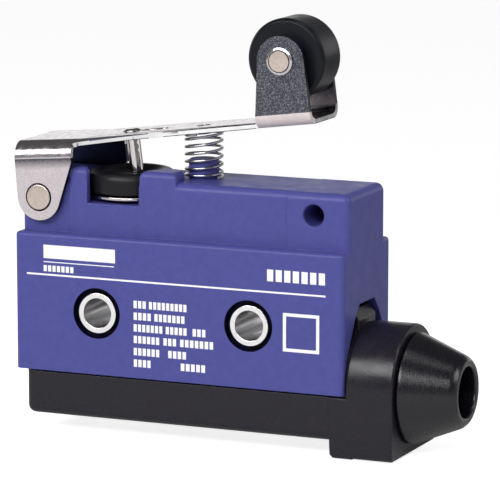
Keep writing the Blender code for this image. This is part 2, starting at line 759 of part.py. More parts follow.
def make_contact_rivet(name, face, shoulder, tail):
    """Contact rivet: silver head to the mating face, shank through its strip."""
    sign = 1.0 if tail > face else -1.0
    profile = [(0.0, 0.0), (1.1, 0.0), (1.3, 0.15), (1.3, abs(shoulder - face)), (0.6, abs(shoulder - face)),
               (0.6, abs(tail - face)), (0.0, abs(tail - face))]
    return turned(name, profile[::-1], (CONTACT_X, 0, face), (0, 0, sign), SILVER, sides=12)


def make_moving_contact():
    """Double-faced button riveted through the blade."""
    side = [(0.0, 0.55), (1.1, 0.55), (1.25, 0.4), (1.25, 0.2), (0.6, 0.2)]
    profile = side + [(r, -h) for r, h in side[::-1]]
    return turned("moving_contact", profile, (CONTACT_X, 0, BLADE_Z), (0, 0, 1), SILVER, sides=12)


def block_outline(radius, bottom, corner=1.0):
    """Section of the conduit block: arched top, flat bottom."""
    right = arc((radius - corner, bottom + corner), corner, -90, 0, 3)
    left = arc((corner - radius, bottom + corner), corner, 180, 270, 3)
    return right + arc((0.0, ARCH_Z), radius, 0, 180, 24) + left


def make_terminal_cover():
    """Black cover under the body, with the conduit block at its gland end."""
    cover = box(
        "terminal_cover", (COVER_LEFT, -COVER_HALF_DEPTH, COVER_BOTTOM),
        (COVER_RIGHT, COVER_HALF_DEPTH, COVER_TOP), BLACK, 1.2,
        lambda run, spot: spot.x < COVER_RIGHT - 1 and (abs(run.z) > 0.9 or spot.z < COVER_BOTTOM + 1),
    )
    low_outline = [
        (BLOCK_LEFT, COVER_TOP), (BLOCK_LEFT + 0.3, -18.7), (BLOCK_LEFT + 0.8, BLOCK_BOTTOM),
        (BLOCK_FACE + 1, BLOCK_BOTTOM), (BLOCK_FACE + 1, COVER_TOP),
    ]
    low_block = prism("low_block", [low_outline[::-1]], "y", -ARCH_RADIUS + 0.1, ARCH_RADIUS - 0.1)
    block = prism("conduit_block", [block_outline(ARCH_RADIUS, BLOCK_BOTTOM)], "x", BLOCK_FACE, BLOCK_RIGHT)
    neck_left = BODY_RIGHT - WALL - 0.6
    neck = prism("neck", [block_outline(8.2, BLOCK_BOTTOM + 2)], "x", neck_left, BLOCK_FACE + 0.5)
    wedge = prism(
        "latch_wedge", [[(26.3, -2.0), (28.2, -2.0), (28.2, 0.6), (27.0, 2.3), (26.3, 2.3)]], "y", -3.4, 3.4
    )
    spigot = cylinder("thread", THREAD_RADIUS, (BLOCK_RIGHT - 1, 0, GLAND_Z), (SPIGOT_END, 0, GLAND_Z))
    join(cover, low_block, block, neck, wedge, spigot)
    inside = COVER_HALF_DEPTH - COVER_WALL
    cut(
        cover,
        box("tray", (COVER_LEFT + COVER_WALL, -inside, COVER_BOTTOM + COVER_WALL), (BLOCK_LEFT + 1.5,
            inside, 0)),
        cylinder("chamber", 6.9, (BLOCK_LEFT - 0.5, 0, GLAND_Z), (BLOCK_RIGHT - 1.7, 0, GLAND_Z)),
        cylinder("conduit", CONDUIT_RADIUS, (BLOCK_LEFT, 0, GLAND_Z), (SPIGOT_END + 1, 0, GLAND_Z)),
    )
    for side, x in (("left", -HOLE_PITCH / 2), ("right", HOLE_PITCH / 2)):
        join(cover, cylinder(f"cover_post_{side}", 3.8, (x, 0, COVER_BOTTOM + 0.5), (x, 0, COVER_TOP - 0.3)))
        cut(
            cover,
            cylinder(f"head_well_{side}", 2.9, (x, 0, COVER_BOTTOM - 1), (x, 0, COVER_BOTTOM + 2.4)),
            cylinder(f"screw_hole_{side}", 1.5, (x, 0, COVER_BOTTOM), (x, 0, COVER_TOP + 1), sides=20),
        )
    return cover


def make_cover_screw(side, x):
    """Screw that holds the cover, its head sunk in the cover's underside."""
    head = COVER_BOTTOM + 0.3
    profile = [(0, -6.6), (0.9, -6.6), (1.2, -7.0), (1.2, head + 1.8), (2.6, head + 1.8), (2.6, head),
        (0, head)]
    screw = turned(f"cover_screw_{side}", profile, (x, 0, 0), (0, 0, 1), NICKEL, sides=24)
    return cut(screw, box(f"cover_slot_{side}", (x - 4, -0.35, head - 1), (x + 4, 0.35, head + 0.8)))


def make_gasket():
    """Rubber frame that plugs the joint between the body and its cover."""
    outer = rounded_rectangle((COVER_LEFT + 1.7, -7.5), (BLOCK_LEFT - 1.9, 7.5), 1.0, 3)
    inner = rounded_rectangle((COVER_LEFT + 2.8, -6.6), (BLOCK_LEFT - 3.0, 6.6), 0.6, 3)
    return prism("cover_gasket", [outer, inner], "z", COVER_TOP - 0.7, BODY_BOTTOM + 0.8, RUBBER)


def make_gland_nut():
    """Conical gland nut, hollow over the thread, with a round cable hole."""
    end = NUT_END
    cavity = THREAD_RADIUS + GAP
    profile = [
        (NUT_HOLE_RADIUS, end - 0.3), (NUT_HOLE_RADIUS + 0.3, end), (NUT_END_RADIUS - 0.8, end),
        (NUT_END_RADIUS - 0.25, end - 0.25), (NUT_END_RADIUS, end - 0.9),
        (NUT_BASE_RADIUS, NUT_BASE + 0.3), (NUT_BASE_RADIUS - 0.3, NUT_BASE),
        (cavity, NUT_BASE), (cavity, NUT_BORE_END), (NUT_HOLE_RADIUS, NUT_BORE_END),
    ]
    return turned("gland_nut", profile, (0, 0, GLAND_Z), (1, 0, 0), BLACK, sides=40, closed=True)


def make_gland_seal():
    """Rubber ring that grips the cable."""
    profile = [(3.2, 40.4), (5.2, 40.4), (5.2, 39.2), (3.2, 39.2)]
    return turned("gland_seal", profile, (0, 0, GLAND_Z), (1, 0, 0), RUBBER, sides=24, closed=True)


def make_gland_washer():
    profile = [(3.6, 41.2), (5.2, 41.2), (5.2, 40.7), (3.6, 40.7)]
    return turned("gland_washer", profile, (0, 0, GLAND_Z), (1, 0, 0), NICKEL, sides=24, closed=True)


make_housing()
for side_name, hole_x in (("left", -HOLE_PITCH / 2), ("right", HOLE_PITCH / 2)):
    make_eyelet(side_name, hole_x)
    make_cover_screw(side_name, hole_x)
make_lever()
make_pivot_pin()
make_push_pin()
make_roller()
make_roller_pin()
make_return_spring()
make_boot()
make_boot_ring()
make_plunger_guide()
make_plunger()
make_overtravel_spring()
make_switch_base()
for terminal in TERMINAL_XS:
    make_terminal(terminal)
    make_terminal_screw(terminal)
    make_clamp_washer(terminal)
make_contact_rivet("no_contact", BLADE_Z - 1.5, ON_BASE_Z + STRIP / 2 + 0.1, BASE_TOP + 0.05)
make_contact_rivet("nc_contact", BLADE_Z + 0.65, 13.6 - STRIP / 2 - 0.1, 14.2)
make_snap_blade()
make_moving_contact()
make_terminal_cover()
make_gasket()
make_gland_nut()
make_gland_seal()
make_gland_washer()
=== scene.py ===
"""Looks of the enclosed limit switch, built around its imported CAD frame.

Lengths are in millimetres unless a name says otherwise. y is measured from the
body's mid-plane, and the helpers turn it into the frame's metres.
"""

import math

import bmesh
import bpy
from mathutils import Matrix, Vector


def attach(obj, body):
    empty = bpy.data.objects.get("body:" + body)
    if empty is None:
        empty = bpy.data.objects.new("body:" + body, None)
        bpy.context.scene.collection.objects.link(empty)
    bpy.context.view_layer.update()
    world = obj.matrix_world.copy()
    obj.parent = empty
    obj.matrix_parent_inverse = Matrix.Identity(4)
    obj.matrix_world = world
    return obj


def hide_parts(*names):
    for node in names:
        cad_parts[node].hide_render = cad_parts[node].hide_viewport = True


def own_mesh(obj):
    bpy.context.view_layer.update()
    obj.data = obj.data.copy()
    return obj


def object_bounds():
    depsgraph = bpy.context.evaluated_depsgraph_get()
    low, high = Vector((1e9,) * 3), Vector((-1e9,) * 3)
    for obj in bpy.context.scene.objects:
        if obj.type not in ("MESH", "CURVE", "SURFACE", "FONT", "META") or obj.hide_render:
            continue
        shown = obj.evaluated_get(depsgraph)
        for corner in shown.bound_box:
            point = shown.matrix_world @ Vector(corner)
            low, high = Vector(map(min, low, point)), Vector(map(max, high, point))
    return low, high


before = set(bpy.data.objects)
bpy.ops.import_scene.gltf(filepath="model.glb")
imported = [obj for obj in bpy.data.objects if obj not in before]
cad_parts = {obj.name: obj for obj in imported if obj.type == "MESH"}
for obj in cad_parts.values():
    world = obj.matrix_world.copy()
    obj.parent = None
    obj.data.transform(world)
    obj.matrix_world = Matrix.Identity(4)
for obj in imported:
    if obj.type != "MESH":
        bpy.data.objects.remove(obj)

cad_low, cad_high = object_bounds()

MM = 0.001
MID_Y = -9.55

# Body.
HOLE_X = 12.7
BODY_LEFT, BODY_RIGHT = -26.7, 28.2
HALF_DEPTH = 9.55
BODY_BOTTOM, SKIRT_TOP, BODY_TOP = -9.6, 11.9, 20.6
WALL = 1.6
UPPER_HALF = 7.25
ZONE_STEP = 0.25
LEVER_ZONE_RIGHT, PROUD_ZONE_LEFT = -18.3, 18.0
CEILING_Z = 15.0
PLUNGER_X = -10.9
POCKET_RADIUS, POCKET_FLOOR = 7.6, 16.7
WINDOW = (-15.3, -6.5)
RAISED_TOP, RAISED_RIGHT, RAISED_REAR = 22.1, -0.3, -1.6
SIDE_HOLE = (22.45, 17.2)
SIDE_HOLE_RADIUS, SIDE_HOLE_SHADE = 1.65, 1.6
EYELET_OUTER, EYELET_BORE = 3.15, 2.3
COUNTERBORE_RADIUS, COUNTERBORE_SHADE, COUNTERBORE_DEPTH = 3.95, 3.97, 1.5
BOSS_RADIUS, BOSS_RECESS = 5.0, 0.2

# Lever.
PIVOT = (-23.15, 17.25)
PIVOT_TILT = math.radians(4.6)
ARM_KINK = math.radians(2.7)
SHEET = 0.8
PLATE_HEIGHT = 8.25
KINK_X = 6.44
EAR_RADIUS, EAR_FLAT, EAR_BEND = 3.6, 5.5, 2.3
ARM_HALF_START, ARM_HALF_END = 6.9, 4.4
FLANGE_RIGHT = 7.8
FRONT_EAR_REACH, REAR_EAR_REACH = 5.2, 3.3
CLEVIS_LEFT = 36.25
CLEVIS_FLAT, CLEVIS_BEND, CLEVIS_EAR_RADIUS = 3.6, 1.6, 3.8
ROLLER_X, ROLLER_HEIGHT = 41.52, 9.58
ROLLER_RADIUS, ROLLER_HALF, HUB_HALF, ROLLER_BORE = 6.25, 3.5, 4.6, 2.0
# Heights between which painted shade darkens the pivot ears towards their bends.
BEND_SHADE_BAND = (25.0, 23.4)
PUSH_PIN_X = 12.94
PUSH_PIN_TIP = -6.3
# Radii between which the axle head is grooved; the groove's faces take painted shade.
AXLE_GROOVE = (1.58, 1.74)
BEND_STEPS = 12
PIN_SIDES = 64

# Spring.
SPRING_X = 1.2
SPRING_RADIUS, SPRING_WIRE, SPRING_TURNS = 2.8, 0.22, 6.75

# Cover and gland.
COVER_LEFT, COVER_RIGHT, COVER_HALF = -25.2, 25.8, 9.2
COVER_TOP, COVER_BOTTOM, COVER_WALL = -9.9, -16.7, 1.5
BLOCK_LEFT, BLOCK_FACE, BLOCK_RIGHT, BLOCK_BOTTOM = 25.5, 28.5, 35.95, -19.2
ARCH_Z, ARCH_RADIUS = -9.05, 9.45
GLAND_Z = -9.4
THREAD_RADIUS, CONDUIT_RADIUS, SPIGOT_END = 5.2, 4.4, 38.9
NUT_BASE, NUT_END, NUT_BASE_RADIUS, NUT_END_RADIUS = 36.1, 44.6, 8.55, 5.6
NUT_HOLE_RADIUS, NUT_BORE_END = 3.9, 41.5

# Top of the snap blade, where the spring inside the plunger stands.
BLADE_TOP = 11.55


# Materials -----------------------------------------------------------------


class Look:
    """Material under construction: a Principled shader and a few node helpers."""

    def __init__(self, name, colour, roughness, metallic=0.0):
        self.material = bpy.data.materials.new(name)
        self.material.use_nodes = True
        self.nodes = self.material.node_tree.nodes
        self.links = self.material.node_tree.links
        self.shader = self.nodes["Principled BSDF"]
        self.shader.inputs["Base Color"].default_value = (*colour, 1.0)
        self.shader.inputs["Roughness"].default_value = roughness
        self.shader.inputs["Metallic"].default_value = metallic
        self.colour = colour
        self.roughness = roughness
        self.place = self.nodes.new("ShaderNodeTexCoord").outputs["Object"]

    def noise(self, size, detail=3.0, stretch=(1.0, 1.0, 1.0)):
        """Noise with features of about the given size in millimetres."""
        mapping = self.nodes.new("ShaderNodeMapping")
        mapping.inputs["Scale"].default_value = stretch
        self.links.new(self.place, mapping.inputs["Vector"])
        texture = self.nodes.new("ShaderNodeTexNoise")
        texture.inputs["Scale"].default_value = 1.0 / (size * MM)
        texture.inputs["Detail"].default_value = detail
        self.links.new(mapping.outputs["Vector"], texture.inputs["Vector"])
        return texture.outputs["Fac"]

    def spread(self, source, low, high, start=0.3, end=0.7):
        """Remaps a value to run from low to high."""
        node = self.nodes.new("ShaderNodeMapRange")
        for key, value in zip(("From Min", "From Max", "To Min", "To Max"), (start, end, low, high)):
            node.inputs[key].default_value = value
        self.links.new(source, node.inputs["Value"])
        return node.outputs["Result"]

    def tint(self, source, dark, light, start=0.3, end=0.7):
        """Base colour that runs between two colours."""
        ramp = self.nodes.new("ShaderNodeValToRGB")
        ramp.color_ramp.elements[0].position = start
        ramp.color_ramp.elements[0].color = (*dark, 1.0)
        ramp.color_ramp.elements[1].position = end
        ramp.color_ramp.elements[1].color = (*light, 1.0)
        self.links.new(source, ramp.inputs["Fac"])
        self.links.new(ramp.outputs["Color"], self.shader.inputs["Base Color"])

    def vary_colour(self, source, amount):
        dark = tuple(channel * (1 - amount) for channel in self.colour)
        light = tuple(min(channel * (1 + amount), 1.0) for channel in self.colour)
        self.tint(source, dark, light)

    def vary_roughness(self, source, amount):
        rough = self.spread(source, self.roughness - amount, self.roughness + amount)
        self.links.new(rough, self.shader.inputs["Roughness"])

    def relief(self, source, depth, edge_radius=0.0):
        """Bump of a depth in millimetres, over edges softened by a radius."""
        bump = self.nodes.new("ShaderNodeBump")
        bump.inputs["Distance"].default_value = depth * MM
        bump.inputs["Strength"].default_value = 1.0
        self.links.new(source, bump.inputs["Height"])
        if edge_radius:
            soft = self.nodes.new("ShaderNodeBevel")
            soft.samples = 6
            soft.inputs["Radius"].default_value = edge_radius * MM
            self.links.new(soft.outputs["Normal"], bump.inputs["Normal"])
        self.links.new(bump.outputs["Normal"], self.shader.inputs["Normal"])


def moulded(name, colour, roughness, grain=0.16, depth=0.008, edge=0.22, variation=0.06, specular=0.5):
    """Moulded plastic: fine spark texture, slight unevenness of colour and gloss."""
    look = Look(name, colour, roughness)
    look.shader.inputs["Specular IOR Level"].default_value = specular
    look.vary_colour(look.noise(1.1, 5.0), variation)
    look.vary_roughness(look.noise(2.5), 0.06)
    look.relief(look.noise(grain, 2.0), depth, edge)
    return look


def plated(name, colour, roughness, grain=0.35, depth=0.004, variation=0.08, stretch=(1.0, 1.0, 1.0)):
    """Plated metal: mottled colour, uneven gloss and a very shallow relief."""
    look = Look(name, colour, roughness, 1.0)
    look.vary_colour(look.noise(grain * 1.6, 4.0, stretch), variation)
    look.vary_roughness(look.noise(grain * 2.5, 3.0, stretch), 0.07)
    look.relief(look.noise(grain, 3.0, stretch), depth)
    return look


def speckled_zinc_painted_shade():
    """Coarse zinc with bright specks, darkened all over as painted shade."""
    look = Look("speckled_zinc_painted_shade", (0.16, 0.165, 0.2), 0.32, 1.0)
    look.tint(look.noise(0.2, 3.0), (0.07, 0.072, 0.09), (0.34, 0.34, 0.38), 0.46, 0.74)
    look.vary_roughness(look.noise(0.9), 0.08)
    look.relief(look.noise(0.2, 3.0), 0.014)
    return look


def bend_shaded_zinc():
    """Mottled zinc with painted shade that darkens the ears towards their bends."""
    look = Look("mottled_zinc_bend_shade", (0.70, 0.64, 0.66), 0.3, 1.0)
    parts = look.nodes.new("ShaderNodeSeparateXYZ")
    look.links.new(look.place, parts.inputs["Vector"])
    level = look.nodes.new("ShaderNodeMath")
    level.operation = "MULTIPLY_ADD"
    look.links.new(parts.outputs["X"], level.inputs[0])
    level.inputs[1].default_value = -math.tan(PIVOT_TILT)
    look.links.new(parts.outputs["Z"], level.inputs[2])
    # Painted shade: the colour runs darker upwards, towards the bend.
    light = look.spread(level.outputs["Value"], 0.0, 0.8, *(height * MM for height in BEND_SHADE_BAND))
    mottled = look.nodes.new("ShaderNodeMath")
    mottled.operation = "MULTIPLY_ADD"
    look.links.new(look.noise(0.3, 4.0), mottled.inputs[0])
    mottled.inputs[1].default_value = 0.3
    look.links.new(light, mottled.inputs[2])
    look.tint(mottled.outputs["Value"], (0.06, 0.058, 0.075), (0.74, 0.68, 0.70), 0.1, 0.98)
    look.vary_roughness(look.noise(0.45), 0.07)
    look.relief(look.noise(0.18), 0.008)
    return look


def ringed_plastic():
    """Black plastic with the fine turning rings of the gland nut."""
    look = Look("gland_black", (0.005, 0.0045, 0.0075), 0.25)
    look.shader.inputs["Specular IOR Level"].default_value = 0.55
    look.vary_colour(look.noise(0.8, 4.0), 0.15)
    look.vary_roughness(look.noise(0.35, 3.0, (3.0, 0.6, 0.6)), 0.09)
    look.relief(look.noise(0.2, 3.0, (2.2, 0.45, 0.45)), 0.014, 0.2)
    return look


BLUE = moulded("blue_moulding", (0.066, 0.069, 0.268), 0.38, depth=0.014, specular=0.25)
BLACK = moulded("black_moulding", (0.0115, 0.010, 0.015), 0.28, grain=0.3, depth=0.014, specular=0.34)
GLAND_BLACK = ringed_plastic()
ROLLER_BLACK = moulded("roller_black", (0.006, 0.0065, 0.010), 0.34, grain=0.25, depth=0.004, specular=0.2)
RUBBER = moulded("black_rubber", (0.006, 0.006, 0.008), 0.38, grain=0.3, depth=0.008, specular=0.26)
ZINC = plated("bright_zinc", (0.66, 0.615, 0.64), 0.2)
EAR_ZINC = bend_shaded_zinc()
DARK_ZINC = speckled_zinc_painted_shade()
SHADED_ZINC = plated("shaded_zinc", (0.012, 0.014, 0.035), 0.35)
SHEARED = plated("sheared_edge", (0.96, 0.94, 0.96), 0.16, grain=0.5, stretch=(0.3, 1.0, 1.0))
# Painted shade: a dark look for the chamfers along the arm's sheared edges and for the axle head's groove.
EDGE_SHADE = plated("painted_edge_shade", (0.03, 0.03, 0.045), 0.4)
# Painted highlight: a pale, non-metal look on the front clevis bend and on the chamfers round the ears'
# ends.
BEND_HIGHLIGHT = moulded("painted_bend_highlight", (0.64, 0.565, 0.565), 0.35, grain=0.5, depth=0.003, edge=0.0)
SHADED_BLUE = moulded("shaded_blue", (0.004, 0.004, 0.02), 0.5, specular=0.1)
RIM_HIGHLIGHT = plated("eyelet_rim_highlight", (0.97, 0.96, 0.96), 0.22, grain=0.8, depth=0.002, variation=0.03)
PIN = plated("pin_face", (0.68, 0.58, 0.52), 0.34, grain=0.3, depth=0.008)
CHROME = plated("bright_pin", (0.6, 0.57, 0.56), 0.1, grain=1.2, depth=0.002)
STEEL = plated("spring_wire", (0.5, 0.49, 0.5), 0.14, grain=0.5, stretch=(1.0, 1.0, 3.0))
TUBE = plated("eyelet_tube", (0.66, 0.65, 0.66), 0.2, grain=1.6, depth=0.002, stretch=(1.0, 0.2, 1.0))
BRASS = plated("contact_brass", (0.75, 0.55, 0.22), 0.3)
SILVER = plated("contact_silver", (0.86, 0.85, 0.82), 0.22)
THERMOSET = moulded("brown_thermoset", (0.07, 0.035, 0.02), 0.5)
ACETAL = moulded("white_acetal", (0.72, 0.72, 0.68), 0.36, variation=0.03)
INK = moulded("white_ink", (0.86, 0.86, 0.88), 0.5, grain=0.4, depth=0.004, edge=0.0, variation=0.03)


# Shape helpers -------------------------------------------------------------

# An edge runs along an axis where that part of its unit direction is over this.
ALIGNED = 0.9
ROUNDING_STEPS = 5


def place(x, y, z):
    return Vector((x * MM, (y + MID_Y) * MM, z * MM))


def lay_out(name, mesh):
    made = bpy.data.objects.new(name, mesh)
    bpy.context.scene.collection.objects.link(made)
    return made


def from_bmesh(name, bm):
    mesh = bpy.data.meshes.new(name)
    bm.to_mesh(mesh)
    bm.free()
    return lay_out(name, mesh)


def box(name, low, high, radius=0.0, weight=None):
    """Box with rounded edges. weight(run, spot) gives each edge's share of the radius."""
    bm = bmesh.new()
    bmesh.ops.create_cube(bm, size=1.0)
    size = Vector(high) - Vector(low)
    middle = (Vector(high) + Vector(low)) / 2
    spots = {}
    for vert in bm.verts:
        spots[vert.index] = Vector([vert.co[i] * size[i] + middle[i] for i in range(3)])
        vert.co = place(*spots[vert.index])
    layer = bm.edges.layers.float.new("bevel_weight_edge")
    for edge in bm.edges:
        first, second = (spots[vert.index] for vert in edge.verts)
        edge[layer] = weight((second - first).normalized(), (first + second) / 2) if weight else 1.0
    made = from_bmesh(name, bm)
    if radius:
        bevel = made.modifiers.new("rounding", "BEVEL")
        bevel.width = radius * MM
        bevel.segments = ROUNDING_STEPS
        bevel.limit_method = "WEIGHT"
    return made


def frame_to(direction):
    return Vector(direction).to_track_quat("Z", "Y").to_matrix().to_4x4()


def soften(points, reach, closed=False, steps=4):
    """Rounds each corner of a profile with a short curve."""
    made = []
    count = len(points)
    for i, here in enumerate(points):
        if not closed and i in (0, count - 1):
            made.append(here)
            continue
        corner, before, after = Vector(here), Vector(points[i - 1]), Vector(points[(i + 1) % count])
        start = corner + (before - corner) * min(reach / (before - corner).length, 0.45)
        end = corner + (after - corner) * min(reach / (after - corner).length, 0.45)
        for j in range(steps + 1):
            t = j / steps
            made.append(tuple(start * (1 - t) ** 2 + corner * 2 * t * (1 - t) + end * t ** 2))
    return made


def turned(name, profile, foot, direction, closed=False, sides=96):
    """Turned piece from (radius, height) points, down its outer side."""
    bm = bmesh.new()
    rings = []
    for radius, height in profile:
        if radius < 1e-6:
            rings.append([bm.verts.new((0.0, 0.0, height * MM))] * sides)
            continue
        turns = (2 * math.pi * i / sides for i in range(sides))
        rings.append([
            bm.verts.new((radius * MM * math.cos(t), radius * MM * math.sin(t), height * MM)) for t in turns
        ])
    pairs = list(zip(rings, rings[1:])) + ([(rings[-1], rings[0])] if closed else [])
    for upper, lower in pairs:
        for i in range(sides):
            j = (i + 1) % sides
            corners = [upper[i], lower[i], lower[j], upper[j]]
            face = list(dict.fromkeys(corners))
            if len(face) > 2:
                bm.faces.new(face)
    bmesh.ops.recalc_face_normals(bm, faces=bm.faces)
    bm.transform(Matrix.Translation(place(*foot)) @ frame_to(direction))
    return from_bmesh(name, bm)


def cylinder(name, radius, start, end, sides=PIN_SIDES, end_radius=None):
    low, high = place(*start), place(*end)
    bm = bmesh.new()
    bmesh.ops.create_cone(
        bm, cap_ends=True, segments=sides, radius1=radius * MM,
        radius2=(radius if end_radius is None else end_radius) * MM, depth=(high - low).length,
    )
    bm.transform(Matrix.Translation((low + high) / 2) @ frame_to(high - low))
    return from_bmesh(name, bm)


def bmesh_of_curve(curve):
    holder = lay_out("curve", curve)
    graph = bpy.context.evaluated_depsgraph_get()
    graph.update()
    mesh = bpy.data.meshes.new_from_object(holder.evaluated_get(graph))
    bpy.data.objects.remove(holder, do_unlink=True)
    bm = bmesh.new()
    bm.from_mesh(mesh)
    bmesh.ops.remove_doubles(bm, verts=bm.verts, dist=1e-7)
    return bm


def flat_curve(outlines, thickness, rounding=0.0):
    """Filled curve of closed outlines, with rounded rims where asked."""
    curve = bpy.data.curves.new("outline", "CURVE")
    curve.dimensions = "2D"
    curve.fill_mode = "BOTH"
    curve.extrude = (thickness / 2 - rounding) * MM
    curve.bevel_depth = rounding * MM
    curve.offset = -rounding * MM
    curve.bevel_resolution = 2
    for outline in outlines:
        spline = curve.splines.new("POLY")
        spline.points.add(len(outline) - 1)
        spline.use_cyclic_u = True
        for point, (across, up) in zip(spline.points, outline):
            point.co = (across * MM, up * MM, 0.0, 1.0)
    return curve


AXIS_TURNS = {
    "x": Matrix(((0, 0, 1, 0), (1, 0, 0, 0), (0, 1, 0, 0), (0, 0, 0, 1))),
    "y": Matrix(((1, 0, 0, 0), (0, 0, -1, 0), (0, 1, 0, 0), (0, 0, 0, 1))),
}


def prism(name, outline, axis, low, high, rounding=0.0):
    bm = bmesh_of_curve(flat_curve([outline], high - low, rounding))
    middle = (low + high) / 2
    spot = place(middle, 0, 0) if axis == "x" else place(0, middle, 0)
    bm.transform(Matrix.Translation(spot) @ AXIS_TURNS[axis])
    bmesh.ops.recalc_face_normals(bm, faces=bm.faces)
    return from_bmesh(name, bm)


def arc(centre, radius, start, end, steps):
    turns = (math.radians(start + (end - start) * i / steps) for i in range(steps + 1))
    return [(centre[0] + radius * math.cos(t), centre[1] + radius * math.sin(t)) for t in turns]


def combine(target, operation, others):
    for other in others:
        step = target.modifiers.new(other.name, "BOOLEAN")
        step.operation = operation
        step.object = other
        other.hide_render = True


def settle(made):
    """Applies the modifiers, then removes the helper shapes that they used."""
    helpers = [step.object for step in made.modifiers if step.type == "BOOLEAN"]
    graph = bpy.context.evaluated_depsgraph_get()
    graph.update()
    made.data = bpy.data.meshes.new_from_object(made.evaluated_get(graph))
    made.modifiers.clear()
    for helper in helpers:
        bpy.data.objects.remove(helper, do_unlink=True)
    return made


def smooth(made, angle=30):
    made.data.shade_smooth()
    made.data.set_sharp_from_angle(angle=math.radians(angle))
    even = made.modifiers.new("even_normals", "WEIGHTED_NORMAL")
    even.keep_sharp = True
    return made


def piece(made, body, slot, looks, *nodes, angle=30):
    """Finishes a visible piece: shading, materials, its body and what it stands for."""
    smooth(made, angle)
    if looks:
        made.data.materials.clear()
    for look in looks:
        made.data.materials.append(look.material)
    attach(made, body)
    if nodes:
        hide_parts(*nodes)
    return made


# Housing -------------------------------------------------------------------


def skirt_edges(run, spot):
    """Edge weights of the skirt: rounded uprights and top rim, and a square foot."""
    if abs(run.z) > ALIGNED:
        return 0.9
    return 0.6 if spot.z > SKIRT_TOP - 0.1 else 0.0


def lever_zone_edges(run, spot):
    return float(spot.z > SKIRT_TOP and (abs(run.x) > ALIGNED or spot.x < LEVER_ZONE_RIGHT))


def middle_zone_edges(run, spot):
    return float(spot.z > SKIRT_TOP and abs(run.x) > ALIGNED)


def proud_zone_edges(run, spot):
    if spot.z < SKIRT_TOP and abs(run.z) < ALIGNED:
        return 0.0
    return 0.2 if spot.x < BODY_RIGHT - 8 else 1.0


def raised_edges(run, spot):
    return 1.0 if spot.z > 17 and abs(run.z) < ALIGNED else 0.35


def housing_shell():
    shell = box(
        "housing_body", (BODY_LEFT, -HALF_DEPTH, BODY_BOTTOM), (BODY_RIGHT, HALF_DEPTH, SKIRT_TOP),
        1.0, skirt_edges,
    )
    half = UPPER_HALF
    zones = (
        ("lever_zone", BODY_LEFT, LEVER_ZONE_RIGHT + 2, half - ZONE_STEP, lever_zone_edges),
        ("middle_zone", LEVER_ZONE_RIGHT, PROUD_ZONE_LEFT + 2, half, middle_zone_edges),
        ("proud_zone", PROUD_ZONE_LEFT, BODY_RIGHT, half + ZONE_STEP, proud_zone_edges),
    )
    blocks = [
        box(name, (left, -depth, 6.0), (right, depth, BODY_TOP), 1.25, weight)
        for name, left, right, depth, weight in zones
    ]
    raised = [
        box(name, (left, -half, 13.0), (right, RAISED_REAR, RAISED_TOP), 1.0, raised_edges)
        for name, left, right in (
            ("raised_post", LEVER_ZONE_RIGHT, WINDOW[0]), ("raised_block", WINDOW[1], RAISED_RIGHT),
        )
    ]
    clearance = cylinder("spring_clearance", 4.25, (SPRING_X, 0, BODY_TOP), (SPRING_X, 0, 30), 96)
    combine(raised[1], "DIFFERENCE", [clearance])
    settle(raised[1])
    spigot = turned(
        "spring_spigot", soften([(0, 23.7), (2.35, 23.7), (2.35, 19.0), (0, 19.0)], 0.5),
        (SPRING_X, 0, 0), (0, 0, 1),
    )
    combine(shell, "UNION", blocks + raised + [spigot])
    return shell


def housing_cuts():
    inner = HALF_DEPTH - WALL
    cuts = [
        box("skirt_hollow", (BODY_LEFT + WALL, -inner, BODY_BOTTOM - 5),
            (BODY_RIGHT - WALL, inner, SKIRT_TOP - WALL)),
        box("upper_hollow", (LEVER_ZONE_RIGHT, -UPPER_HALF + WALL, SKIRT_TOP - WALL - 1),
            (PROUD_ZONE_LEFT + 2.2, UPPER_HALF - WALL, CEILING_Z)),
        cylinder("pocket", POCKET_RADIUS, (PLUNGER_X, 0, POCKET_FLOOR), (PLUNGER_X, 0, 30), 128),
        cylinder("guide_hole", 3.4, (PLUNGER_X, 0, 14), (PLUNGER_X, 0, 17)),
        cylinder("pivot_bore", 2.05, (PIVOT[0], -12, PIVOT[1]), (PIVOT[0], 12, PIVOT[1])),
    ]
    for side, sign in (("front", -1), ("back", 1)):
        near, far = sorted((sign * 5.4, sign * 12))
        cuts.append(box(f"window_{side}", (WINDOW[0], near, POCKET_FLOOR), (WINDOW[1], far, 30)))
    hole_x, hole_z = SIDE_HOLE
    face = -UPPER_HALF - ZONE_STEP
    cuts.append(cylinder("side_hole", SIDE_HOLE_RADIUS, (hole_x, -12, hole_z), (hole_x, face + 7, hole_z)))
    cuts.append(cylinder(
        "side_hole_rim", 2.1, (hole_x, face - 0.28, hole_z), (hole_x, face + 0.22, hole_z), end_radius=1.6
    ))
    opening = [(3.0, 3.45), (4.9, 1.3), (8.1, -4.2), (8.6, -6.5), (9.0, -12.0)]
    opening = [(-y, z) for y, z in opening] + opening[::-1]
    cuts.append(prism("cable_opening", opening, "x", BODY_RIGHT - WALL - 1, BODY_RIGHT + 2))
    return cuts


def fixing_hole_cuts(side, x):
    made = [cylinder(f"eyelet_bore_{side}", EYELET_OUTER + 0.05, (x, -12, 0), (x, 12, 0), 96)]
    for face, sign in (("front", -1), ("back", 1)):
        made.append(cylinder(
            f"counterbore_{face}_{side}", COUNTERBORE_RADIUS,
            (x, sign * (HALF_DEPTH - COUNTERBORE_DEPTH), 0), (x, sign * 12, 0), 96,
        ))
    return made


def make_housing():
    shell = housing_shell()
    combine(shell, "DIFFERENCE", housing_cuts())
    reach = HALF_DEPTH - BOSS_RECESS
    for side, x in (("left", -HOLE_X), ("right", HOLE_X)):
        boss = cylinder(f"boss_{side}", BOSS_RADIUS, (x, -reach, 0), (x, reach, 0), 96)
        combine(shell, "UNION", [boss])
        combine(shell, "DIFFERENCE", fixing_hole_cuts(side, x))
    settle(shell)
    shade_recesses(shell)
    return piece(shell, "root", "blue_housing", [], "housing")


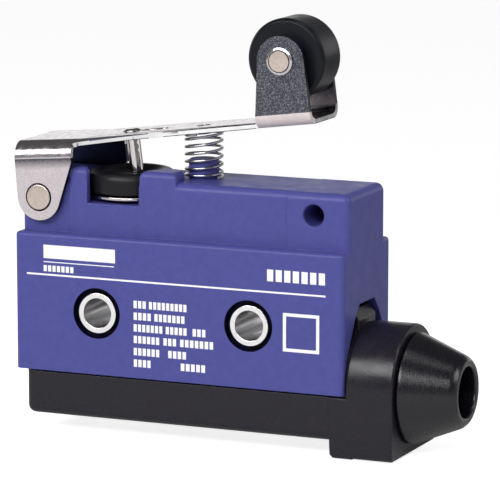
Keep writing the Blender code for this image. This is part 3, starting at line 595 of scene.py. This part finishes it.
def shade_recesses(housing):
    """Dark look for the insides of the counterbores and of the small side hole."""
    for look in (BLUE, SHADED_BLUE):
        housing.data.materials.append(look.material)
    recesses = [(x, 0.0, COUNTERBORE_SHADE, HALF_DEPTH - 0.1) for x in (-HOLE_X, HOLE_X)]
    recesses.append((*SIDE_HOLE, SIDE_HOLE_SHADE, UPPER_HALF + 0.1))
    for face in housing.data.polygons:
        spot = face.center / MM
        face.material_index = int(any(
            math.hypot(spot.x - x, spot.z - z) < radius and abs(spot.y - MID_Y) < reach
            for x, z, radius, reach in recesses
        ))


def make_eyelet(side, x):
    half = HALF_DEPTH - 0.22
    outer, bore = EYELET_OUTER, EYELET_BORE
    profile = [(outer, half), (outer, -half), (bore, -half), (bore, half)]
    made = turned(f"eyelet_{side}", soften(profile, 0.14, closed=True), (x, 0, 0), (0, 1, 0), closed=True)
    for look in (TUBE, RIM_HIGHLIGHT):
        made.data.materials.append(look.material)
    # Painted highlight: the flange faces take a brighter copy of the eyelet's metal.
    for face in made.data.polygons:
        face.material_index = int(abs(face.normal.y) > 0.25)
    return piece(made, "root", "zinc_plated_sheet", [], f"mounting_eyelet_{side}")


# Plain print: a label block, two ruled lines, runs of small blocks and a square outline.
PRINT_BARS = ((-21.7, 8.05, 12.2, 2.1), (-21.7, 7.42, 12.0, 0.14), (-24.6, 5.35, 49.9, 0.27))
# Runs of blocks: left, foot, how many, pitch, height.
PRINT_RUNS = (
    (-21.7, 6.0, 7, 0.76, 0.95), (15.8, 7.15, 7, 1.4, 1.8),
    (-6.4, 1.35, 3, 0.76, 1.15), (-3.8, 1.35, 9, 0.72, 1.15),
    (-6.4, -0.48, 4, 0.78, 1.15), (-2.9, -0.48, 7, 0.75, 1.15),
    (-6.4, -2.3, 7, 0.72, 1.15), (-1.0, -2.3, 5, 0.74, 1.15), (3.5, -2.3, 3, 0.78, 1.15),
    (-6.4, -4.1, 6, 0.75, 1.15), (-1.4, -4.1, 3, 0.78, 1.15), (1.4, -4.1, 7, 0.82, 1.15),
    (-6.4, -6.0, 6, 0.75, 1.15), (-0.6, -6.0, 4, 0.8, 1.15),
    (-6.4, -7.8, 4, 0.76, 1.15), (1.5, -7.8, 5, 0.86, 1.15),
)
BLOCK_SHARE = 0.72
PRINT_SQUARE = (18.4, -3.4, 5.9, 0.5)
INK_THICKNESS = 0.02


def ink_patch(bm, x, z, width, height):
    """Thin raised block of ink on the body's front face."""
    low = place(x, -HALF_DEPTH - INK_THICKNESS, z)
    high = place(x + width, -HALF_DEPTH, z + height)
    made = bmesh.ops.create_cube(bm, size=1.0)["verts"]
    middle, size = (low + high) / 2, high - low
    for vert in made:
        vert.co = Vector([middle[i] + vert.co[i] * size[i] for i in range(3)])


def make_print():
    bm = bmesh.new()
    for x, z, width, height in PRINT_BARS:
        ink_patch(bm, x, z, width, height)
    for left, foot, count, pitch, height in PRINT_RUNS:
        for i in range(count):
            ink_patch(bm, left + i * pitch, foot, pitch * BLOCK_SHARE, height)
    x, z, side, line = PRINT_SQUARE
    for spot in ((x, z, side, line), (x, z + side - line, side, line)):
        ink_patch(bm, *spot)
    for column in (x, x + side - line):
        ink_patch(bm, column, z + line, line, side - 2 * line)
    return piece(from_bmesh("printed_lines", bm), "root", None, [INK])


# Lever ---------------------------------------------------------------------


def lever_place(x, y, rise):
    """Blank coordinate x, width y and height over the plate's mid-surface."""
    local_x, local_z = x, PLATE_HEIGHT + rise
    if x > KINK_X:
        along = x - KINK_X
        local_x = KINK_X + along * math.cos(ARM_KINK) - rise * math.sin(ARM_KINK)
        local_z = PLATE_HEIGHT + along * math.sin(ARM_KINK) + rise * math.cos(ARM_KINK)
    cos, sin = math.cos(PIVOT_TILT), math.sin(PIVOT_TILT)
    return (PIVOT[0] + local_x * cos - local_z * sin, y, PIVOT[1] + local_x * sin + local_z * cos)


ARM_UP = Vector(lever_place(KINK_X + 10, 0, 1)) - Vector(lever_place(KINK_X + 10, 0, 0))
ROLLER_CENTRE = lever_place(ROLLER_X, 0, ROLLER_HEIGHT)
PIVOT_ACROSS = EAR_FLAT + EAR_BEND * math.pi / 2 + PLATE_HEIGHT - EAR_BEND
ROLLER_ACROSS = CLEVIS_FLAT + CLEVIS_BEND * math.pi / 2 + ROLLER_HEIGHT - CLEVIS_BEND


def folded(x, across):
    """Place of a point of the flat blank once its ears are folded."""
    side = math.copysign(1.0, across)
    clevis = x > CLEVIS_LEFT - 0.01
    flat, bend = (CLEVIS_FLAT, CLEVIS_BEND) if clevis else (EAR_FLAT, EAR_BEND)
    over = abs(across) - flat
    if over <= 0:
        return lever_place(x, across, 0.0)
    turn = min(over / bend, math.pi / 2)
    width = flat + bend * math.sin(turn)
    drop = bend * (1 - math.cos(turn)) + max(over - bend * math.pi / 2, 0.0)
    return lever_place(x, side * width, drop if clevis else -drop)


def blank_half(flange_x, ear_reach):
    """Half of the lever's blank, from its pivot end to its roller end."""
    shoulder = (flange_x, PIVOT_ACROSS - ear_reach)
    run = Vector((shoulder[0], PIVOT_ACROSS - shoulder[1]))
    touch = math.degrees(math.atan2(run.y, run.x) - math.acos(EAR_RADIUS / run.length))
    ear = arc((0.0, PIVOT_ACROSS), EAR_RADIUS, 180, -touch, 40)
    clevis = arc((ROLLER_X, ROLLER_ACROSS), CLEVIS_EAR_RADIUS, 180, 0, 40)
    relief = (flange_x, ARM_HALF_START + 0.2)
    arm = [(flange_x + 0.5, ARM_HALF_START), (CLEVIS_LEFT, ARM_HALF_END)]
    corner = [(CLEVIS_LEFT, CLEVIS_FLAT + CLEVIS_BEND)]
    return [(-EAR_RADIUS, 0.0)] + ear + [shoulder, relief] + arm + corner + clevis + [
        (ROLLER_X + CLEVIS_EAR_RADIUS, 0.0)]


def blank_outlines():
    front = [(x, -across) for x, across in blank_half(KINK_X - 0.4, FRONT_EAR_REACH)]
    rear = blank_half(FLANGE_RIGHT, REAR_EAR_REACH)
    outlines = [front[:-1] + rear[::-1][:-1]]
    for side in (-1, 1):
        outlines.append(arc((0.0, side * PIVOT_ACROSS), 2.2, 0, 354, 59))
        outlines.append(arc((ROLLER_X, side * ROLLER_ACROSS), 2.0, 0, 354, 59))
    outlines.append(arc((PUSH_PIN_X, 0.0), 1.06, 0, 351, 39))
    outlines.append(arc((spring_along(), 0.0), 1.15, 0, 351, 39))
    return outlines


def spring_along():
    return KINK_X + (SPRING_X - lever_place(KINK_X, 0, 0)[0]) / math.cos(PIVOT_TILT + ARM_KINK)


# The looks of the lever's faces, in the order of its material slots.
LEVER_LOOKS = (ZINC, DARK_ZINC, EAR_ZINC, SHEARED, EDGE_SHADE, SHADED_ZINC, BEND_HIGHLIGHT)
PLAIN_FACE, CLEVIS_FACE, EAR_FACE, RIM_FACE, DARK_EDGE, SHADED_FACE, BRIGHT_BEND = range(7)
CHAMFER = 0.12
# Length of a folded bend over its radius: a quarter turn, rounded down.
BEND_END = 1.57


def on_ear_arc(edge):
    """True for an edge on the round end of an ear."""
    middle = (edge.verts[0].co + edge.verts[1].co) / 2
    arcs = (
        (place(PIVOT[0], 0, PIVOT[1]), EAR_RADIUS),
        (place(*ROLLER_CENTRE), CLEVIS_EAR_RADIUS),
    )
    near = any(
        abs(math.hypot(middle.x - spot.x, middle.z - spot.z) / MM - radius) < 0.03
        for spot, radius in arcs
    )
    return near and edge.calc_length() > 0.15 * MM


def along_arm(edge):
    """True for a long edge of the arm, clear above the pivot."""
    middle = (edge.verts[0].co + edge.verts[1].co) / 2
    across = abs(middle.y / MM - MID_Y)
    above = middle.z > place(PIVOT[0], 0, PIVOT[1]).z + 7 * MM
    return across < EAR_FLAT + 1.3 and edge.calc_length() > 2 * MM and above


def meets_rim(edge):
    """True for an edge between the sheared rim and a face of the sheet."""
    rims = [face.material_index == RIM_FACE for face in edge.link_faces]
    return len(rims) == 2 and rims[0] != rims[1]


def round_sheared_edges(sheet):
    """Chamfers where the sheared rim meets the faces: painted shade along the arm, a painted highlight on
    the ears.
    """
    for look, is_wanted in ((DARK_EDGE, along_arm), (BRIGHT_BEND, on_ear_arc)):
        bm = bmesh.new()
        bm.from_mesh(sheet.data)
        chosen = [edge for edge in bm.edges if meets_rim(edge) and is_wanted(edge)]
        bmesh.ops.bevel(
            bm, geom=chosen, offset=CHAMFER * MM, offset_type="OFFSET", segments=1, profile=0.5,
            affect="EDGES", clamp_overlap=False, material=look,
        )
        bm.to_mesh(sheet.data)
        bm.free()


def score_bends(bm):
    """Cuts the flat blank along every line at which it will turn."""
    scores = [(KINK_X, 0), (CLEVIS_LEFT, 0)]
    for flat, bend in ((EAR_FLAT, EAR_BEND), (CLEVIS_FLAT, CLEVIS_BEND)):
        lines = [flat + bend * math.pi / 2 * i / BEND_STEPS for i in range(BEND_STEPS + 1)]
        scores += [(line * side, 1) for line in lines for side in (-1, 1)]
    for offset, axis in scores:
        point, normal = Vector((0.0, 0.0, 0.0)), Vector((0.0, 0.0, 0.0))
        point[axis] = offset * MM
        normal[axis] = 1.0
        everything = bm.verts[:] + bm.edges[:] + bm.faces[:]
        bmesh.ops.bisect_plane(bm, geom=everything, dist=1e-7, plane_co=point, plane_no=normal)


def mark_ears(bm):
    """Gives the faces of the flat blank that become ears their looks, painted shade and painted highlight
    among them.
    """
    for face in bm.faces:
        middle = face.calc_center_median() / MM
        if middle.x > CLEVIS_LEFT and abs(middle.y) > CLEVIS_FLAT + CLEVIS_BEND * BEND_END:
            face.material_index = CLEVIS_FACE
        # Painted highlight on the front clevis bend.
        elif middle.x > CLEVIS_LEFT and middle.y < -CLEVIS_FLAT - CLEVIS_BEND * 0.15:
            face.material_index = BRIGHT_BEND
        elif middle.x < CLEVIS_LEFT and abs(middle.y) > EAR_FLAT + EAR_BEND * BEND_END:
            face.material_index = EAR_FACE


def mark_rear_faces(sheet):
    """Paints shade on the inner face of the rear ear, and leaves the rear clevis ear plain, without the
    front one's painted shade.
    """
    for face in sheet.data.polygons:
        behind = (face.center.y / MM - MID_Y) > UPPER_HALF and face.center.x / MM < -5
        if behind and face.normal.y < -0.7:
            face.material_index = SHADED_FACE
        elif face.material_index == CLEVIS_FACE and face.center.y / MM > MID_Y:
            face.material_index = PLAIN_FACE


def make_lever():
    """Sheet metal lever: flat blank, scored along its bends, folded and thickened."""
    bm = bmesh_of_curve(flat_curve(blank_outlines(), 0.0))
    bmesh.ops.dissolve_limit(bm, angle_limit=0.01, verts=bm.verts, edges=bm.edges)
    score_bends(bm)
    mark_ears(bm)
    for vert in bm.verts:
        vert.co = place(*folded(vert.co.x / MM, vert.co.y / MM))
    made = from_bmesh("lever_plate", bm)
    for look in LEVER_LOOKS:
        made.data.materials.append(look.material)
    thick = made.modifiers.new("sheet", "SOLIDIFY")
    thick.thickness = SHEET * MM
    thick.offset = 0.0
    thick.use_even_offset = True
    thick.material_offset_rim = RIM_FACE
    settle(made)
    round_sheared_edges(made)
    mark_rear_faces(made)
    return piece(made, "lever", "zinc_plated_sheet", [], "lever_arm", angle=40)


def make_lever_details():
    """Pressed boss over the spring and the oval mark on the arm."""
    spot = lever_place(spring_along(), 0, 0)
    profile = [(1.1, 0.3), (1.25, -0.38), (1.3, -0.6), (1.15, -0.95), (0, -0.95), (0, -0.7), (1.1, -0.7)]
    boss = turned("spring_boss", soften(profile, 0.12), spot, ARM_UP, sides=64)
    piece(boss, "lever", "zinc_plated_sheet", [ZINC])
    dome = [(0, 0.58), (0.6, 0.56), (0.9, 0.48), (1.0, 0.3), (0, 0.3)]
    mark = turned("arm_emboss", dome, (0, 0, 0), (0, 0, 1), sides=64)
    slope = Matrix.Rotation(-(PIVOT_TILT + ARM_KINK), 4, "Y")
    stretch = Matrix.Diagonal((2.5, 1.0, 1.0, 1.0))
    spot = place(*lever_place(PUSH_PIN_X + 3.9, 0, 0))
    mark.data.transform(Matrix.Translation(-place(0, 0, 0)))
    mark.data.transform(Matrix.Translation(spot) @ slope @ stretch)
    piece(mark, "lever", "zinc_plated_sheet", [ZINC])


def make_pins():
    half = EAR_FLAT + EAR_BEND + SHEET / 2 + 0.25
    ends = [(0, half), (1.2, half - 0.02), (1.97, half - 0.06), (1.97, 0)]
    profile = soften(ends, 0.16) + [(r, -h) for r, h in soften(ends, 0.16)[::-1][1:]]
    pivot = turned("pivot_pin", profile, (PIVOT[0], 0, PIVOT[1]), (0, 1, 0))
    piece(pivot, "lever", "plated_pin", [PIN], "lever_pivot_pin")
    face = CLEVIS_FLAT + CLEVIS_BEND + SHEET / 2
    ends = [
        (0, face + 0.56), (1.6, face + 0.56), (1.68, face + 0.44), (1.76, face + 0.5), (2.1, face + 0.36),
        (2.1, face + 0.04), (1.85, face), (1.85, 0),
    ]
    profile = soften(ends, 0.05) + [(r, -h) for r, h in soften(ends, 0.05)[::-1][1:]]
    axle = turned("roller_axle", profile, ROLLER_CENTRE, (0, 1, 0))
    for look in (PIN, ZINC, EDGE_SHADE):
        axle.data.materials.append(look.material)
    centre = place(*ROLLER_CENTRE)
    for polygon in axle.data.polygons:
        radius = math.hypot(polygon.center.x - centre.x, polygon.center.z - centre.z) / MM
        # The groove's faces take the painted edge shade.
        in_groove = AXLE_GROOVE[0] < radius < AXLE_GROOVE[1]
        polygon.material_index = 2 if in_groove else int(radius >= AXLE_GROOVE[1])
    piece(axle, "lever", "plated_pin", [], "roller_pin")
    top, tip = SHEET / 2, PUSH_PIN_TIP
    profile = [
        (0, top + 0.42), (0.9, top + 0.38), (1.42, top + 0.12), (1.42, top), (1.0, top), (1.0, -top),
        (1.4, -top), (1.4, -top - 0.4), (1.08, -top - 0.45), (1.08, tip + 0.35), (0.65, tip), (0, tip),
    ]
    pin = turned("push_pin_stem", soften(profile, 0.1), lever_place(PUSH_PIN_X, 0, 0), ARM_UP, sides=64)
    piece(pin, "lever", "plated_pin", [CHROME], "push_pin")


def make_roller():
    """Black wheel: broad chamfered rim, shallow web and a hub on each side."""
    side = soften([
        (2.85, HUB_HALF), (2.95, ROLLER_HALF + 0.05), (4.1, ROLLER_HALF), (5.0, ROLLER_HALF),
        (ROLLER_RADIUS - 0.45, ROLLER_HALF), (ROLLER_RADIUS, ROLLER_HALF - 0.45), (ROLLER_RADIUS, 0),
    ], 0.14)
    mirrored = [(radius, -height) for radius, height in side[::-1][1:]]
    profile = [(ROLLER_BORE, HUB_HALF)] + side + mirrored + [(ROLLER_BORE, -HUB_HALF)]
    made = turned("roller_wheel", profile, ROLLER_CENTRE, (0, 1, 0), closed=True, sides=128)
    return piece(made, "roller", "black_plastic", [ROLLER_BLACK], "roller")


# Springs and plunger -------------------------------------------------------


def wire(name, points, radius):
    curve = bpy.data.curves.new(name, "CURVE")
    curve.dimensions = "3D"
    curve.bevel_depth = radius * MM
    curve.bevel_resolution = 4
    curve.use_fill_caps = True
    spline = curve.splines.new("POLY")
    spline.points.add(len(points) - 1)
    for point, spot in zip(spline.points, points):
        point.co = (*place(*spot), 1.0)
    return from_bmesh(name, bmesh_of_curve(curve))


def make_return_spring():
    """Coil spring with closed ends; its top coil lies along the arm."""
    slope = math.tan(PIVOT_TILT + ARM_KINK)
    foot = BODY_TOP + SPRING_WIRE + 0.08
    arm_x, _, arm_z = lever_place(KINK_X, 0, -SHEET / 2)
    height = arm_z + (SPRING_X - arm_x) * slope - SPRING_WIRE - 0.1 - foot
    closed, per_turn = 0.9, 40
    lift = closed * (2 * SPRING_WIRE + 0.05)
    middle = SPRING_TURNS - 2 * closed
    points = [(SPRING_X + SPRING_RADIUS, -0.9, foot), (SPRING_X + SPRING_RADIUS, -0.45, foot)]
    for i in range(int(SPRING_TURNS * per_turn) + 1):
        turn = i / per_turn
        if turn < closed:
            rise = turn * lift / closed
        elif turn > SPRING_TURNS - closed:
            rise = height - (SPRING_TURNS - turn) * lift / closed
        else:
            rise = lift + (turn - closed) / middle * (height - 2 * lift)
        across = SPRING_RADIUS * math.cos(turn * 2 * math.pi)
        ahead = SPRING_RADIUS * math.sin(turn * 2 * math.pi)
        points.append((SPRING_X + across, ahead, foot + rise + slope * across * rise / height))
    made = wire("return_coil", points, SPRING_WIRE)
    piece(made, "root", "spring_steel", [STEEL], "return_spring", angle=60)
    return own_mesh(made)


def make_overtravel_spring():
    radius = 0.15
    foot = BLADE_TOP + radius + 0.08
    height = 18.6 - radius - 0.08 - foot
    turns, per_turn, coil = 5, 24, 1.1
    points = [
        (
            PLUNGER_X + coil * math.cos(2 * math.pi * i / per_turn),
            coil * math.sin(2 * math.pi * i / per_turn),
            foot + height * i / (turns * per_turn),
        )
        for i in range(turns * per_turn + 1)
    ]
    made = wire("overtravel_coil", points, radius)
    piece(made, "root", "spring_steel", [STEEL], "overtravel_spring", angle=60)
    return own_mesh(made)


def make_boot():
    """Rubber cap with a rolled shoulder and a dished middle."""
    outside = [
        (0, 20.35), (2.2, 20.36), (3.3, 20.55), (4.3, 21.1), (5.0, 21.4), (5.8, 21.38), (6.5, 20.95),
        (6.8, 20.3), (6.8, 18.25), (6.65, 17.95),
    ]
    foot = [(5.4, 17.95), (5.4, 16.95), (4.7, 16.95)]
    inside = [(4.7, 18.0), (6.1, 18.6), (6.1, 20.2), (5.2, 20.6), (3.6, 20.05), (0, 20.0)]
    made = turned("boot_cap", soften(outside + foot + inside, 0.3), (PLUNGER_X, 0, 0), (0, 0, 1), sides=128)
    piece(made, "root", "black_rubber", [RUBBER], "rubber_boot", angle=40)
    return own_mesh(made)


def make_boot_ring():
    profile = soften([(5.6, 17.72), (6.78, 17.72), (6.78, 17.18), (5.6, 17.18)], 0.2, closed=True)
    made = turned("boot_ring", profile, (PLUNGER_X, 0, 0), (0, 0, 1), closed=True, sides=128)
    return piece(made, "root", "spring_steel", [CHROME], "boot_clamp_ring")


# Cover and gland -----------------------------------------------------------


def block_outline(radius, bottom, corner=1.0):
    """Section of the conduit block: arched top, flat bottom."""
    right = arc((radius - corner, bottom + corner), corner, -90, 0, 8)
    left = arc((corner - radius, bottom + corner), corner, 180, 270, 8)
    return right + arc((0.0, ARCH_Z), radius, 0, 180, 96) + left


def neck_outline():
    """Section of the block where it passes through the body's cable opening."""
    half, radius = 7.85, ARCH_RADIUS - 0.15
    start = math.degrees(math.acos(half / radius))
    side = [(8.75, -12.5), (8.4, -6.5)]
    return side + arc((0.0, ARCH_Z), radius, start, 180 - start, 64) + [(-y, z) for y, z in side[::-1]]


def cover_edges(run, spot):
    return float(spot.x < COVER_RIGHT - 1 and (abs(run.z) > ALIGNED or spot.z < COVER_BOTTOM + 1))


def make_cover():
    cover = box(
        "cover_body", (COVER_LEFT, -COVER_HALF, COVER_BOTTOM), (COVER_RIGHT, COVER_HALF, COVER_TOP),
        1.3, cover_edges,
    )
    low_outline = [
        (BLOCK_LEFT, COVER_TOP), (BLOCK_FACE + 1, COVER_TOP), (BLOCK_FACE + 1, BLOCK_BOTTOM),
        (BLOCK_LEFT + 0.85, BLOCK_BOTTOM), (BLOCK_LEFT + 0.33, -18.7),
    ]
    neck_left = BODY_RIGHT - WALL - 0.6
    wedge = [(26.3, -2.0), (28.25, -2.0), (28.25, 1.0), (27.2, 2.5), (26.3, 2.5)]
    combine(cover, "UNION", [
        prism("low_block", low_outline, "y", 0.1 - ARCH_RADIUS, ARCH_RADIUS - 0.1, 0.3),
        prism("conduit_block", block_outline(ARCH_RADIUS, BLOCK_BOTTOM), "x", BLOCK_FACE, BLOCK_RIGHT, 0.35),
        prism("neck", neck_outline(), "x", neck_left, BLOCK_FACE + 0.5),
        prism("latch_wedge", wedge[::-1], "y", -3.4, 3.4, 0.1),
        cylinder("thread", THREAD_RADIUS, (BLOCK_RIGHT - 1, 0, GLAND_Z), (SPIGOT_END, 0, GLAND_Z), 96),
    ])
    inside = COVER_HALF - COVER_WALL
    tray_left, tray_bottom = COVER_LEFT + COVER_WALL, COVER_BOTTOM + COVER_WALL
    combine(cover, "DIFFERENCE", [
        box("tray", (tray_left, -inside, tray_bottom), (BLOCK_LEFT + 1.5, inside, 0)),
        cylinder("chamber", 6.9, (BLOCK_LEFT - 0.5, 0, GLAND_Z), (BLOCK_RIGHT - 1.7, 0, GLAND_Z)),
        cylinder("conduit", CONDUIT_RADIUS, (BLOCK_LEFT, 0, GLAND_Z), (SPIGOT_END + 1, 0, GLAND_Z)),
    ])
    for side, x in (("left", -HOLE_X), ("right", HOLE_X)):
        post = cylinder(f"cover_post_{side}", 3.8, (x, 0, COVER_BOTTOM + 0.5), (x, 0, COVER_TOP - 0.3))
        combine(cover, "UNION", [post])
        combine(cover, "DIFFERENCE", [
            cylinder(f"head_well_{side}", 2.9, (x, 0, COVER_BOTTOM - 1), (x, 0, COVER_BOTTOM + 2.4)),
            cylinder(f"screw_hole_{side}", 1.5, (x, 0, COVER_BOTTOM), (x, 0, COVER_TOP + 1)),
        ])
    return piece(settle(cover), "root", "black_plastic", [BLACK], "terminal_cover")


def make_gland_nut():
    """Conical nut with a rounded nose, hollow over the thread."""
    end, cavity = NUT_END, THREAD_RADIUS + 0.3
    profile = [
        (NUT_HOLE_RADIUS, end - 0.15), (NUT_HOLE_RADIUS + 0.45, end), (NUT_END_RADIUS - 0.75, end),
        (NUT_END_RADIUS - 0.05, end - 0.75), (NUT_BASE_RADIUS, NUT_BASE + 0.3),
        (NUT_BASE_RADIUS - 0.3, NUT_BASE), (cavity, NUT_BASE), (cavity, NUT_BORE_END),
        (NUT_HOLE_RADIUS, NUT_BORE_END),
    ]
    profile = soften(profile, 0.4, closed=True, steps=6)
    made = turned("nut_cone", profile, (0, 0, GLAND_Z), (1, 0, 0), closed=True, sides=128)
    return piece(made, "gland_nut", "black_plastic", [GLAND_BLACK], "gland_nut", angle=35)


CARRIED_OVER = {
    "plunger_guide": BRASS, "plunger": ACETAL, "switch_base": THERMOSET, "cover_gasket": RUBBER,
    "gland_seal": RUBBER, "gland_washer": ZINC, "snap_blade": STEEL, "moving_contact": SILVER,
    "no_contact": SILVER, "nc_contact": SILVER, "cover_screw_left": ZINC, "cover_screw_right": ZINC,
}
for role in ("common", "no", "nc"):
    CARRIED_OVER[f"{role}_terminal"] = BRASS
    CARRIED_OVER[f"terminal_screw_{role}"] = ZINC
    CARRIED_OVER[f"wire_clamp_{role}"] = ZINC


def dress_carried_nodes():
    for name, look in CARRIED_OVER.items():
        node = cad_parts[name]
        for holder in node.material_slots:
            holder.material = look.material


# Studio --------------------------------------------------------------------

TARGET = place(8.86, 0, 9.88)
VIEW_AZIMUTH, VIEW_ELEVATION = 23.47, 9.88
VIEW_DISTANCE_M = 0.560
LENS_MM = 263.15
LIGHT_DISTANCE_M = 1.5
# Parts of a view direction, upwards and rearwards, between which the backdrop fades.
HORIZON_FADE, REAR_FADE = (0.16, 0.34), (-0.35, 0.1)
WORLD_LEVEL = 0.1
FLOOR_RADIUS_M, FLOOR_GAP_M, FLOOR_FADE_M = 4.0, 0.0002, (-0.05, 0.2)
FLOOR_GLOW, FLOOR_GLOW_SEEN = 0.06, 0.82


def direction(azimuth, elevation):
    """Unit vector from the object; azimuth 0 is the front, 90 the gland end."""
    a, e = math.radians(azimuth), math.radians(elevation)
    return Vector((math.sin(a) * math.cos(e), -math.cos(a) * math.cos(e), math.sin(e)))


def make_camera():
    data = bpy.data.cameras.new("camera")
    data.sensor_width = 36.0
    data.lens = LENS_MM
    data.clip_start = 0.01
    camera = lay_out("camera", data)
    back = direction(VIEW_AZIMUTH, VIEW_ELEVATION)
    camera.location = TARGET + back * VIEW_DISTANCE_M
    camera.rotation_mode = "QUATERNION"
    camera.rotation_quaternion = (-back).to_track_quat("-Z", "Y")
    bpy.context.scene.camera = camera


def make_light(name, azimuth, elevation, width, height, power):
    data = bpy.data.lights.new(name, "AREA")
    data.shape = "RECTANGLE"
    data.size = width
    data.size_y = height
    data.energy = power
    light = lay_out(name, data)
    toward = direction(azimuth, elevation)
    light.location = TARGET + toward * LIGHT_DISTANCE_M
    light.rotation_mode = "QUATERNION"
    light.rotation_quaternion = (-toward).to_track_quat("-Z", "Y")


def make_backdrop():
    """World: bright along the low horizon behind the object, dim elsewhere, white to the camera."""
    world = bpy.data.worlds.new("studio")
    bpy.context.scene.world = world
    world.use_nodes = True
    nodes, links = world.node_tree.nodes, world.node_tree.links
    way = nodes.new("ShaderNodeTexCoord")
    parts = nodes.new("ShaderNodeSeparateXYZ")
    links.new(way.outputs["Generated"], parts.inputs["Vector"])
    low = nodes.new("ShaderNodeMapRange")
    behind = nodes.new("ShaderNodeMapRange")
    for node, source, (start, end), first, last in (
        (low, "Z", HORIZON_FADE, 1.0, 0.0), (behind, "Y", REAR_FADE, 0.12, 1.0),
    ):
        node.interpolation_type = "SMOOTHSTEP"
        node.inputs["From Min"].default_value = start
        node.inputs["From Max"].default_value = end
        node.inputs["To Min"].default_value = first
        node.inputs["To Max"].default_value = last
        links.new(parts.outputs[source], node.inputs["Value"])
    both = nodes.new("ShaderNodeMath")
    both.operation = "MULTIPLY_ADD"
    links.new(low.outputs["Result"], both.inputs[0])
    links.new(behind.outputs["Result"], both.inputs[1])
    both.inputs[2].default_value = WORLD_LEVEL
    path = nodes.new("ShaderNodeLightPath")
    seen = nodes.new("ShaderNodeMix")
    links.new(path.outputs["Is Camera Ray"], seen.inputs["Factor"])
    links.new(both.outputs["Value"], seen.inputs["A"])
    seen.inputs["B"].default_value = 1.0
    links.new(seen.outputs["Result"], nodes["Background"].inputs["Strength"])
    nodes["Background"].inputs["Color"].default_value = (1.0, 1.0, 1.0, 1.0)


def make_floor():
    """Pale floor, lifted towards white where the camera sees it directly, with painted shade that darkens it
    towards the back.
    """
    look = Look("pale_floor", (0.8, 0.8, 0.8), 0.7)
    look.shader.inputs["Specular IOR Level"].default_value = 0.1
    look.shader.inputs["Emission Color"].default_value = (1.0, 1.0, 1.0, 1.0)
    path = look.nodes.new("ShaderNodeLightPath")
    lift = look.spread(path.outputs["Is Camera Ray"], FLOOR_GLOW, FLOOR_GLOW_SEEN, 0.0, 1.0)
    look.links.new(lift, look.shader.inputs["Emission Strength"])
    depth = look.nodes.new("ShaderNodeSeparateXYZ")
    look.links.new(look.place, depth.inputs["Vector"])
    # Painted shade: the floor's colour darkens from front to back.
    near_to_far = look.spread(depth.outputs["Y"], 0.0, 1.0, *FLOOR_FADE_M)
    look.tint(near_to_far, (0.82, 0.82, 0.82), (0.25, 0.25, 0.25), 0.0, 1.0)
    bm = bmesh.new()
    bmesh.ops.create_circle(bm, cap_ends=True, segments=96, radius=FLOOR_RADIUS_M)
    floor = from_bmesh("studio_floor", bm)
    floor.location.z = cad_low.z - FLOOR_GAP_M
    floor.data.materials.append(look.material)


def make_studio():
    make_light("key_softbox", -12, 35, 1.7, 0.55, 24.0)
    make_light("top_fill", 30, 78, 0.5, 0.5, 2.0)
    make_light("side_fill", 88, 35, 0.6, 0.6, 5.0)
    make_backdrop()
    make_floor()
    bpy.context.scene.view_settings.view_transform = "Standard"


make_housing()
for side_name, hole in (("left", -HOLE_X), ("right", HOLE_X)):
    make_eyelet(side_name, hole)
make_print()
make_lever()
make_lever_details()
make_pins()
make_roller()
make_return_spring()
make_overtravel_spring()
make_boot()
make_boot_ring()
make_cover()
make_gland_nut()
dress_carried_nodes()
make_camera()
make_studio()
